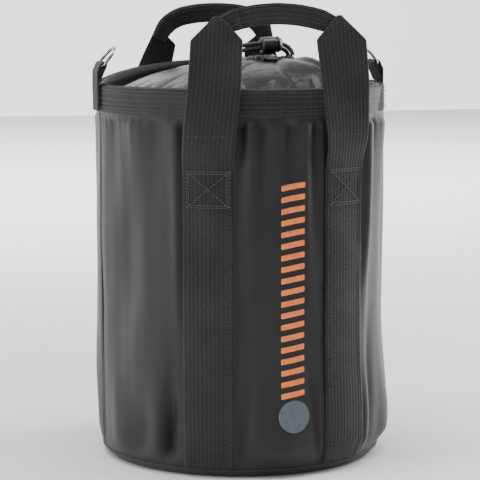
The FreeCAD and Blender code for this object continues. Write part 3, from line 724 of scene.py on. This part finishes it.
def strap_points(side, z, across, heading):
    """Webbing from the base seam, along the wall, then free of it above the box stitch.
    across runs from the left edge to the right edge, as seen from outside."""
    middle = side * STRAP_ANGLE + (0 if heading > 0 else 180)
    sewn = on_wall(middle + np.degrees(across / WALL), z, 0.15 * MM)
    centre, sideways = leg_frame(z, FOLDS[heading])
    flip = np.array([side, 1, 1])
    free = turned(centre * flip + sideways * flip * (across * side)[..., None], heading)
    loose = looseness(z)
    return sewn * (1 - loose) + free * loose


def looseness(z):
    """0 where the webbing is sewn to the wall, and 1 where it is free of it."""
    return smooth(z, STITCH_TOP - 0.006, STITCH_TOP + 0.028)[..., None]


def blend_piece(obj, node):
    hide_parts(node)
    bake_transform(obj)


def strap_wave(z, across):
    """A little unevenness, as webbing has."""
    return 0.35 * MM * ripple(z * 60, across * 60, 5, 2)


def straps():
    """The sewn straps with the lower part of each free leg, and the legs' upper parts."""
    for end, heading in HANDLES:
        front, fold = heading > 0, FOLDS[heading]
        for name, side in SIDES:
            own = side * heading
            rows = np.concatenate([np.linspace(SEAM + 1.5 * MM, STITCH_TOP - 0.03, 120),
                                   np.linspace(STITCH_TOP - 0.029, JOIN_LEVEL, 40)])
            z, a = grid(rows, np.linspace(-STRAP / 2, STRAP / 2, 26))
            strip = slab(f"{end}_{name}_strap_webbing", strap_points(own, z, a, heading), STRAP_GAUGE,
                         z, a, STRAP_WEB, swell=strap_wave(z, a))
            blend_piece(strip, f"{end}_{name}_strap")
            leg_end = GRIP_TOP - (0.0125 if front else 0.034)
            z, share = grid(np.linspace(JOIN_LEVEL, leg_end, 90), np.linspace(-1, 1, 26))
            if front:
                taper = 1 - 0.94 * smooth_line(z, GRIP_TOP - 0.036, leg_end)
            else:
                outer = 1 - 0.9 * smooth_line(z, GRIP_TOP - 0.105, leg_end)
                inner = 1 - 0.5 * smooth(z, GRIP_TOP - 0.048, leg_end)
                taper = np.where(share * own > 0, outer, inner)
            a = share * STRAP / 2 * taper
            bulge = 1.6 * MM * smooth(z, GRIP_TOP - 0.045, GRIP_TOP - 0.02) * bell(share, 0.2, 0.8)
            strip = slab(f"{end}_{name}_leg_webbing", strap_points(own, z, a, heading), STRAP_GAUGE,
                         z, a, STRAP_WEB, swell=strap_wave(z, a) + bulge)
            blend_piece(strip, f"{end}_{name}_leg")


# Half of each grip's middle line: mm from the centre, and mm below the grip's highest middle line.
GRIP_KNEES = {
    "front": [(0, 0), (20, -1.3), (40, -5.2), (60, -12.2)],
    "rear": [(0, 0), (21, -1.0), (41, -5.0), (54, -14.0), (62, -31.0)]}
GRIP_HEIGHT = 21 * MM
# The folded webbing's outline: mm from its middle plane, and shares of half its height.
GRIP_SECTION = [
    (2.7, -0.1), (2.9, 0.25), (2.9, 0.7), (2.4, 0.9), (1.5, 0.98), (0.6, 0.93), (0.1, 0.86), (-0.4, 0.93),
    (-1.4, 0.98), (-2.3, 0.9), (-2.8, 0.7), (-2.9, 0.25), (-2.8, -0.1), (-2.9, -0.55), (-2.7, -0.8),
    (-2.0, -0.95), (-0.8, -1.0), (0.8, -1.0), (2.0, -0.95), (2.7, -0.8), (2.9, -0.55)]


def grips():
    """The webbing folded in half along the grip: two plies with a round crease below."""
    turns = np.linspace(-1, 1, 150)
    top = GRIP_HEIGHT / 2
    section = dense_ring(GRIP_SECTION, 64)
    thick, tall = section[:, 0] * MM, section[:, 1] * top
    count = len(section)
    squeeze = 1 - 0.2 * smooth(np.abs(turns), 0.7, 1.0)[:, None]
    out = np.array([0.0, -1.0, 0.12])
    faces = [f[::-1] for f in quads(len(turns), count, False, True)]
    faces += [tuple(range(count)), tuple((len(turns) - 1) * count + k for k in range(count))[::-1]]
    for end, heading in HANDLES:
        knees = np.array(GRIP_KNEES[end]) * MM
        knees = np.vstack([knees[::-1] * [-1, 1], knees[1:]])
        where = np.linspace(-1, 1, len(knees))
        x, level = (eased(turns, where, knees[:, k], 0.10) for k in (0, 1))
        level = level + (GRIP_TOP - top)
        depth = LEG_Y[-1] + (level - FOLDS[heading]) * LEG_LEAN + 2.6 * MM
        path = np.stack([x, depth + 0.5 * MM * ripple(turns * 6, turns, 6), level], -1)
        way = unit(np.gradient(path, axis=0))
        up = unit(np.stack([-way[:, 2], 0 * turns + 0.12, way[:, 0]], -1))
        points = path[:, None] + up[:, None] * tall[None, :, None] * squeeze[..., None] \
            + out * (thick[None, :] * grip_bulge(turns, tall))[..., None]
        along = travelled(path)[:, None] + 0 * thick
        across = np.where(thick >= 0, tall, -tall)[None, :] + 0 * along
        grip = mesh_object(f"{end}_grip_webbing", turned(points, heading), faces, STRAP_WEB,
                           np.stack([along, across, 0 * along], -1))
        finish_piece(grip, f"{end}_handle", "webbing", f"{end}_handle_top")
        lines = []
        for side in (1, -1):
            for inset in (2.4, 5.0):
                row = top - inset * MM
                face = out * side * 3.0 * MM * grip_bulge(turns, np.array([row]))
                lines.append(turned(path + up * row * squeeze + face, heading))
        stitches(f"{end}_grip_stitching", lines, THREAD, f"{end}_handle")


def grip_bulge(turns, tall):
    """How the folded webbing thickens and pinches along the grip."""
    wave = ripple(turns[:, None] * 9, tall[None, :] * 120, 7, 2)
    pinch = bell(turns[:, None], -0.62, 0.05) + 0.7 * bell(turns[:, None], -0.45, 0.035) \
        + 0.6 * bell(turns[:, None], 0.66, 0.05)
    return 1 + 0.18 * wave - 0.45 * pinch


def dense_ring(corners, count):
    """A closed outline with more points, where its height counts ten times its thickness."""
    closed = np.array([*corners, corners[0]])
    steps = travelled(closed * [0.1, 1])
    places = np.linspace(0, steps[-1], count, endpoint=False)
    return np.stack([np.interp(places, steps, closed[:, k]) for k in range(2)], -1)


def strap_line(own, heading, z, across):
    """A line on a strap's outer face, for sewing."""
    z, across = np.broadcast_arrays(z, across)
    points = strap_points(own, z, across, heading)
    sideways = leg_frame(z, FOLDS[heading])[1]
    free_out = turned(np.stack([sideways[..., 1] * own, -sideways[..., 0], 0 * z], -1), heading)
    loose = looseness(z)
    return points + unit(unit(points * [1, 1, 0]) * (1 - loose) + free_out * loose) * 1.95 * MM


def strap_sewing():
    """Two rows along each edge of the sewn straps, and the box-and-cross stitch at the top."""
    z = np.linspace(SEAM + 4 * MM, STITCH_TOP - 4 * MM, 300)
    low, high, half = STITCH_TOP - 0.040, STITCH_TOP - 0.005, 21 * MM
    t = np.linspace(0, 1, 60)
    for end, heading in HANDLES:
        edges, lines = [], []
        for own in (-1, 1):
            for edge in (-22.5, -19.5, 19.5, 22.5):
                edges.append(strap_line(own, heading, z, edge * MM))
            for inset in (0, 2.2 * MM):
                x, z0, z1 = half - inset, low + inset, high - inset
                for a0, b0, a1, b1 in ((-x, z0, x, z0), (-x, z1, x, z1), (-x, z0, -x, z1), (x, z0, x, z1)):
                    lines.append(strap_line(own, heading, b0 + t * (b1 - b0), a0 + t * (a1 - a0)))
            for sign in (-1, 1):
                across = sign * (t * 2 - 1) * half
                lines.append(strap_line(own, heading, low + t * (high - low), across))
        stitches(f"{end}_strap_stitching", edges, THREAD)
        stitches(f"{end}_box_stitching", lines, STRAP_THREAD, size=0.5 * MM)


# ---- seams on the wall

def seam_sewing():
    z = np.linspace(SEAM + 2 * MM, RIM - BAND - 1 * MM, 260)
    lines = [on_wall(middle + np.degrees(step * MM / WALL), z, 0.25 * MM)
             for middle in (-90, 90) for step in (-3.2, 3.2)]
    lines.append(on_wall(np.linspace(0, 360, 720), SEAM + 3.2 * MM, 0.2 * MM))
    stitches("seam_stitching", lines, THREAD, slot="coated_fabric")


# ---- print

PRINT_STEP = 1.5  # mm
DISC_RADIUS = 16  # mm
DISC_HEIGHT = 0.061
BAR_HEIGHTS = (0.083, 0.287)
BAR_COUNT = 19


def patch(name, middle, low, shape, material):
    """A printed patch: an outline in millimetres, laid on the wall and filled with a fine grid."""
    mesh = bmesh.new()
    mesh.faces.new([mesh.verts.new((x, y, 0)) for x, y in shape])
    for axis, edges in zip(((1, 0, 0), (0, 1, 0)), np.array(shape).T):
        for cut in np.arange(edges.min() + PRINT_STEP, edges.max(), PRINT_STEP):
            bmesh.ops.bisect_plane(mesh, geom=mesh.verts[:] + mesh.edges[:] + mesh.faces[:],
                                   plane_co=Vector(axis) * float(cut), plane_no=axis)
    mesh.verts.index_update()
    flat = np.array([v.co[:] for v in mesh.verts])
    angle = middle + np.degrees(flat[:, 0] * MM / WALL)
    z = low + flat[:, 1] * MM
    count = len(flat)
    faces = [tuple(v.index for v in f.verts) for f in mesh.faces]
    edges = [tuple(v.index for v in e.verts) for e in mesh.edges if len(e.link_faces) == 1]
    mesh.free()
    faces += [tuple(count + v for v in f[::-1]) for f in faces]
    faces += [(a, b, count + b, count + a) for a, b in edges]
    verts = np.vstack([on_wall(angle, z, lift) for lift in (0.42 * MM, 0.05 * MM)])
    coords = np.stack([np.r_[z, z], np.radians(np.r_[angle, angle]) * WALL, np.ones(2 * count)], -1)
    obj = mesh_object(name, verts, faces, material, coords)
    heal = bmesh.new()
    heal.from_mesh(obj.data)
    bmesh.ops.recalc_face_normals(heal, faces=heal.faces)
    heal.to_mesh(obj.data)
    heal.free()
    return obj


def rounded_box(width, height, radius, slant):
    """The outline of a slanted bar with round corners, in millimetres."""
    shape = []
    for cx, cy, start in ((1, 1, 0), (-1, 1, 90), (-1, -1, 180), (1, -1, 270)):
        for step in range(0, 91, 18):
            t = math.radians(start + step)
            x = cx * (width / 2 - radius) + radius * math.cos(t)
            y = cy * (height / 2 - radius) + radius * math.sin(t)
            shape.append((x, y + slant * x))
    return shape


def print_marks():
    """A column of plain slanted bars and one plain disc."""
    bar = rounded_box(24, 5.4, 1.0, 0.16)
    bars = [patch(f"orange_bar_{k + 1}", 4.3, low, bar, ORANGE)
            for k, low in enumerate(np.linspace(*BAR_HEIGHTS, BAR_COUNT))]
    finish_piece(joined("orange_bars", bars), "bag", "coated_fabric")
    disc = [(DISC_RADIUS * math.cos(t), DISC_RADIUS * math.sin(t)) for t in around(48)]
    finish_piece(patch("grey_disc", 4.7, DISC_HEIGHT, disc, GREY_INK), "bag", "coated_fabric")


# ---- collar

# The skirt's upright foot: its share of the skirt, and where it starts and how far it rises.
FOOT_SHARE = 0.13
FOOT_LEVEL = 0.354
FOOT_RISE = 0.017
SKIRT_LENGTH = 0.142


def past_foot(t):
    """0 on the skirt's upright foot, then up to 1 at the mouth."""
    return np.clip((t - FOOT_SHARE) / (1 - FOOT_SHARE), 0, 1)


def collar_start(count, rows):
    """The skirt before it settles: from its sewn foot, over the rope, to the off-centre mouth."""
    angle = around(count)[:, None]
    t = np.linspace(0, 1, rows)[None, :]
    go = past_foot(t)
    swirl = angle + 0.3 * go
    wander = 0.5 * ripple(np.cos(angle) * 2, np.sin(angle) * 2 + t * 2, 8, 2)
    mouth = (20.0 + 1.6 * np.sin(11 * swirl) + 1.2 * np.sin(17 * swirl + 1)) * MM
    outer = np.stack([COLLAR_FOOT * np.cos(angle) + 0 * t, COLLAR_FOOT * np.sin(angle) + 0 * t,
                      FOOT_LEVEL + FOOT_RISE * np.clip(t / FOOT_SHARE, 0, 1) + 0 * angle], -1)
    inner = around_mouth(mouth, swirl, 3 * MM)
    points = outer * (1 - go[..., None]) + inner * go[..., None]
    middle = np.sin(math.pi * go)
    degrees = np.degrees(swirl)
    folds = 7.0 * np.abs(np.sin(3.5 * swirl + 2.4 * wander)) ** 1.5 \
        + 3.2 * np.abs(np.sin(8 * swirl + 4 * wander))
    ridge = 9.0 * bell(angle_gap(degrees, -52), 0, 9) - 15.0 * bell(angle_gap(degrees, -12), 0, 30)
    dome = 30 * go ** 0.55 * (1 - go) ** 0.9 * (1 - 0.95 * bell(angle_gap(degrees, 180), 0, 62))
    folds = folds * (1 - 0.6 * bell(angle_gap(degrees, 180), 0, 55))
    points[..., 2] += (dome + (folds + ridge - 3.0) * middle) * MM
    return points


def settled(points, steps):
    """The skirt after a short cloth simulation: more cloth than the gap needs, pinned at its foot and mouth
    and lifted by a light upward gravity.
    """
    count, rows = points.shape[:2]
    skirt = mesh_object("collar_drape", points, quads(count, rows, True), NYLON)
    t = np.linspace(0, 1, rows)
    girth = COLLAR_FOOT * (1 - 0.50 * past_foot(t))
    turns = around(count)[:, None]
    height = FOOT_LEVEL + 6 * MM + SKIRT_LENGTH * t + 0 * turns
    flat = np.stack([girth * np.cos(turns), girth * np.sin(turns), height], -1)
    skirt.shape_key_add(name="Basis")
    rest = skirt.shape_key_add(name="flat_cloth")
    rest.data.foreach_set("co", flat.astype(np.float32).reshape(-1))
    pins = skirt.vertex_groups.new(name="sewn")
    index = np.arange(count * rows).reshape(count, rows)
    held = max(int(0.12 * rows), 2)
    pins.add(index[:, :held].ravel().tolist() + index[:, -2:].ravel().tolist(), 1.0, "REPLACE")
    cloth = skirt.modifiers.new("cloth", "CLOTH")
    for key, value in dict(
            vertex_group_mass="sewn", rest_shape_key=rest, mass=0.12, quality=5, tension_stiffness=12,
            compression_stiffness=6, shear_stiffness=3, bending_stiffness=1.6, air_damping=3).items():
        setattr(cloth.settings, key, value)
    cloth.settings.effector_weights.gravity = -0.05
    cloth.point_cache.frame_start = 1
    cloth.point_cache.frame_end = steps
    scene = bpy.context.scene
    for step in range(1, steps + 1):
        scene.frame_set(step)
    done = skirt.evaluated_get(bpy.context.evaluated_depsgraph_get()).to_mesh()
    result = np.empty(len(done.vertices) * 3, np.float32)
    done.vertices.foreach_get("co", result)
    scene.frame_set(1)
    bpy.data.objects.remove(skirt)
    return result.reshape(count, rows, 3).astype(float)


def collar_cloth():
    count, rows = 288, 50
    points = collar_start(count, rows)
    points = settled(points, 36)
    points[..., 2] = np.minimum(points[..., 2], HEM_HIGH[2] + 1.5 * MM)
    angle, t = grid(around(count), np.linspace(0, 1, rows))
    skirt = slab("collar_cloth", points, COLLAR_GAUGE, angle * 0.15, t * 0.15, NYLON, loop=True)
    finish_piece(skirt, "bag", "thin_nylon", "collar")


def hem_cloth():
    """The drawn-in hem: a channel scrunched into uneven pleats round the mouth."""
    angle, turn = grid(around(640), around(28))
    phase = 11 * angle + 1.3 * np.sin(2 * angle + 1) + 0.9 * np.sin(5 * angle)
    pleat = np.abs(np.sin(phase)) ** 0.7
    second = np.sin(2.3 * phase + 2 * np.sin(turn))
    ring = (19.4 + 1.9 * pleat + 0.5 * second) * MM
    wide = (2.5 + 1.9 * pleat + 0.3 * np.sin(7 * turn + phase)) * MM
    tall = (4.2 + 1.8 * pleat + 0.9 * np.sin(3 * angle + 2)) * MM
    radius = ring + wide * np.cos(turn) + 1.4 * MM * np.sin(phase * 2 + 1) * np.sin(turn)
    rise = 4.9 * MM + tall * np.sin(turn) * 0.9 + 0.5 * MM * second
    points = around_mouth(radius, angle + 0.06 * np.sin(turn + phase), rise)
    coords = np.stack([angle * 0.02, turn * 0.005, 0 * angle], -1)
    faces = [f[::-1] for f in quads(*angle.shape, True, True)]
    hem = mesh_object("hem_cloth", points, faces, NYLON, coords)
    finish_piece(hem, "bag", "thin_nylon", "collar_hem")


# ---- drawcord, knot and lock

# The CAD route of each cord tail, mm.
UPPER_TAIL = [
    (53.0, -12.5, 410.0), (51.5, -8.5, 424.5), (-7.0, -12.6, 420.4),
    (-22.0, -16.5, 413.0), (-32.2, -20.6, 407.6)]
LOWER_TAIL = [
    (50.0, -5.5, 410.2), (47.5, -8.8, 419.2), (-5.0, -12.5, 415.5),
    (-17.0, -18.5, 409.0), (-28.8, -24.9, 403.9)]


def nurbs_path(name, route):
    """Points along the smooth line whose control points are the route, in metres."""
    curve = bpy.data.curves.new(name, "CURVE")
    curve.dimensions = "3D"
    line = curve.splines.new("NURBS")
    line.points.add(len(route) - 1)
    for point, place in zip(line.points, route):
        point.co = (*[value * MM for value in place], 1)
    line.order_u = 3
    line.use_endpoint_u = True
    line.resolution_u = 24
    holder = bpy.data.objects.new(name, curve)
    bpy.context.scene.collection.objects.link(holder)
    bpy.context.view_layer.update()
    mesh = bpy.data.meshes.new_from_object(holder)
    points = np.array([v.co[:] for v in mesh.vertices])
    bpy.data.objects.remove(holder)
    bpy.data.meshes.remove(mesh)
    return points


def drawcord():
    """The knot, the two tails on the CAD's route, and the hidden ring of cord in the hem."""
    t = around(120)
    size = 2.9 * MM
    reach = size + 1.15 * size * 0.6 * np.cos(3 * t)
    wrap = np.mean(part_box("cord_knot"), axis=0) + np.stack([
        reach * np.cos(2 * t) * 0.9, reach * np.sin(2 * t) * 1.15, 1.9 * MM * np.sin(3 * t)], -1)
    knot = tube("overhand_knot", wrap, CORD_SIZE * 0.52, CORD, 16, True, 0.22 * MM)
    finish_piece(knot, "bag", "cord", "cord_knot")
    for name, route, extra in (("upper_cord", UPPER_TAIL, [knot]), ("lower_cord", LOWER_TAIL, [])):
        path = resampled(nurbs_path(name, route), 0.3 * MM)
        cord = tube(f"{name}_braid", path, CORD_SIZE / 2 - 0.14 * MM, CORD, 30, braid=0.42 * MM)
        finish_piece(cord, "bag", "cord", f"{name}_tail")
    hidden = around_mouth(20.5 * MM, around(200), 4.9 * MM)
    finish_piece(tube("hem_cord_braid", hidden, 2.0 * MM, CORD, 12, True), "bag", "cord", "hem_cord")


def metal_and_plastic():
    """The lock's plastic, with softened edges, and the rings' steel."""
    for node, material in (("lock_barrel", PLASTIC), ("lock_plunger", PLASTIC),
                           ("left_d_ring", STEEL), ("right_d_ring", STEEL)):
        obj = frame["nodes"][node]
        obj.data.materials.clear()
        obj.data.materials.append(material)
        if material == PLASTIC:
            bevel = obj.modifiers.new("edge", "BEVEL")
            bevel.width = 0.45 * MM
            bevel.segments = 3
            bevel.limit_method = "ANGLE"
            bevel.angle_limit = math.radians(35)


def lock_coil():
    """The lock's spring: flat turns round the two cords, between the barrel's end and the plunger."""
    middle = np.mean(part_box("lock_spring"), axis=0)
    way = unit(np.array([1.0, 0.07, 0.07]))
    side = unit(np.cross(way, [0.0, 0.0, 1.0]))
    rise = np.cross(side, way)
    t = np.linspace(0, 1, 260)[:, None]
    turn = 2 * math.pi * 3.6 * t
    run = (np.clip(t * 1.2 - 0.1, 0, 1) - 0.5) * 3.3 * MM
    path = middle + way * run + 6.1 * MM * (np.cos(turn) * side + np.sin(turn) * rise)
    coil = tube("lock_coil", path, 0.5 * MM, STEEL, 10)
    finish_piece(coil, "cord_lock", "spring_steel", "lock_spring")
    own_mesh(coil)


# ---- ring tabs

def tab_strip(name, route, step, half, side):
    """A band of tab webbing whose middle line is a route of points in the plane y = 0."""
    route = resampled(np.array(route), step)
    across = np.linspace(-half, half, 15) * MM
    points = np.repeat(route[:, None], len(across), 1)
    points[..., 1] = across
    along, across = grid(np.arange(len(route)) * step, across)
    order = slice(None, None, side)
    return slab(name, points[:, order], TAB_GAUGE, along, across[:, order], STRAP_WEB)


def tabs():
    """The webbing sewn over the rim, down both sides of it, with its rows of thread."""
    for name, side in SIDES:
        low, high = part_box(f"{name}_tab_base")
        near, far = sorted((abs(low[0]), abs(high[0])))
        foot, top = low[2], high[2] - TAB_GAUGE
        half = (far - near) / 2 - TAB_GAUGE
        turn = [((far + near) / 2 + half * math.cos(b), top - half * 0.6 + half * 0.6 * math.sin(b))
                for b in np.linspace(0, math.pi, 13)[1:-1]]
        levels = (foot + 0.5 * MM, foot + 10 * MM, top - half)
        route = [(far - TAB_GAUGE, z) for z in levels] + turn + [(near + TAB_GAUGE, z) for z in levels[::-1]]
        strip = tab_strip(f"{name}_tab_webbing", [(side * x, 0, z) for x, z in route], 0.8 * MM, 12.4, side)
        finish_piece(strip, "bag", "webbing", f"{name}_tab_base")
        face = side * (far + 0.15 * MM)
        ends = [((edge, foot + 2 * MM), (edge, high[2] - 6 * MM)) for edge in (-10.4 * MM, 10.4 * MM)]
        ends += [((-10.4 * MM, foot + row * MM), (10.4 * MM, foot + row * MM)) for row in (2.4, 5.2, 20.5)]
        lines = [np.linspace((face, *start), (face, *end), 30) for start, end in ends]
        stitches(f"{name}_tab_stitching", lines, THREAD)
        loop_webbing(name, side, far)


def loop_webbing(name, side, base_face):
    """The fold of webbing that holds the ring: down the outside, round the bar, and up the inside."""
    joints = {joint["name"]: joint for joint in frame["record"]["behaviour"]["joints"]}
    foot, bar = (np.array(joints[f"{name}_{part}_swing"]["pos_m"]) for part in ("tab", "ring"))
    up = unit(bar - foot)
    out = np.array([up[2] * side, 0, -up[0] * side])
    inner = 1.95 * MM
    waist = foot + (bar - foot) * 0.45
    start = np.array([side * (base_face - 1.2 * MM), 0, foot[2] - 14 * MM])
    route = [start, start + [0, 0, 10 * MM], waist + out * inner]
    route += [bar + out * inner * math.cos(turn) + up * inner * math.sin(turn)
              for turn in np.linspace(0, math.pi, 15)]
    route += [waist - out * inner, foot - up * 3.2 * MM - out * (inner + 0.4 * MM)]
    strip = tab_strip(f"{name}_loop_webbing", route, 0.6 * MM, 12.3, side)
    blend_piece(strip, f"{name}_tab_loop")


# ---- scene

def soft_light(name, place, aim, size, power):
    light = bpy.data.lights.new(name, "AREA")
    light.shape = "RECTANGLE"
    light.size, light.size_y = size
    light.energy = power
    lamp = bpy.data.objects.new(name, light)
    lamp.location = place
    lamp.rotation_euler = (Vector(aim) - Vector(place)).to_track_quat("-Z", "Y").to_euler()
    bpy.context.scene.collection.objects.link(lamp)


def camera():
    """The camera at the photo's angle: to the left of the front, and a little above."""
    heading, pitch, distance, height = math.radians(-16), math.radians(6.98), 2.0, 0.463
    lens = bpy.data.cameras.new("camera")
    lens.sensor_width = 36
    lens.lens = 145.05
    eye = bpy.data.objects.new("camera", lens)
    eye.location = (math.sin(heading) * distance, -math.cos(heading) * distance, height)
    eye.rotation_euler = (math.pi / 2 - pitch, 0, heading)
    bpy.context.scene.collection.objects.link(eye)
    bpy.context.scene.camera = eye


def studio():
    floor_material = Nodes("floor_paper", Roughness=0.9)
    paper = floor_material.noise(floor_material.object_place(), 30.0, 2.0)
    floor_material.colour(paper, (0.3, (0.86,) * 3), (0.7, (0.9,) * 3))
    floor = mesh_object("floor", [(x, y, -0.5 * MM) for x, y in ((-6, -6), (6, -6), (6, 6), (-6, 6))],
                        [(0, 1, 2, 3)], floor_material.material)
    world = bpy.data.worlds.new("studio")
    world.use_nodes = True
    tree = world.node_tree
    where = tree.nodes.new("ShaderNodeTexCoord")
    split = tree.nodes.new("ShaderNodeSeparateXYZ")
    ramp = tree.nodes.new("ShaderNodeMapRange")
    tree.links.new(where.outputs["Generated"], split.inputs[0])
    tree.links.new(split.outputs["Y"], ramp.inputs["Value"])
    for socket, value in (("From Min", 0.35), ("From Max", 0.97), ("To Min", 0.24), ("To Max", 2.2)):
        ramp.inputs[socket].default_value = value
    tree.links.new(ramp.outputs[0], tree.nodes["Background"].inputs["Strength"])
    tree.nodes["Background"].inputs["Color"].default_value = (1, 1, 1, 1)
    bpy.context.scene.world = world
    soft_light("left_soft", (-1.9, -0.25, 0.6), (0, 0, 0.2), (1.0, 1.6), 24)
    soft_light("front_soft", (-0.6, -2.6, 1.2), (0, 0, 0.25), (0.9, 0.9), 6)
    soft_light("floor_soft", (0, -0.3, 3.0), (0, -0.6, 0), (3.5, 1.0), 95)
    soft_light("right_soft", (1.6, 0.35, 0.6), (0, 0, 0.25), (0.7, 1.5), 30)
    soft_light("top_soft", (-0.35, 0.5, 1.5), (0, 0, 0.4), (0.12, 0.5), 3)
    soft_light("backdrop_soft", (0, 2.2, 2.6), (0, 6, 0), (6, 2), 500)


for make in (camera, drawcord, wall_panels, base, inner_tapes, rim_webbing, straps, grips, strap_sewing,
             seam_sewing, print_marks, collar_cloth, hem_cloth, metal_and_plastic, lock_coil, tabs, studio):
    make()
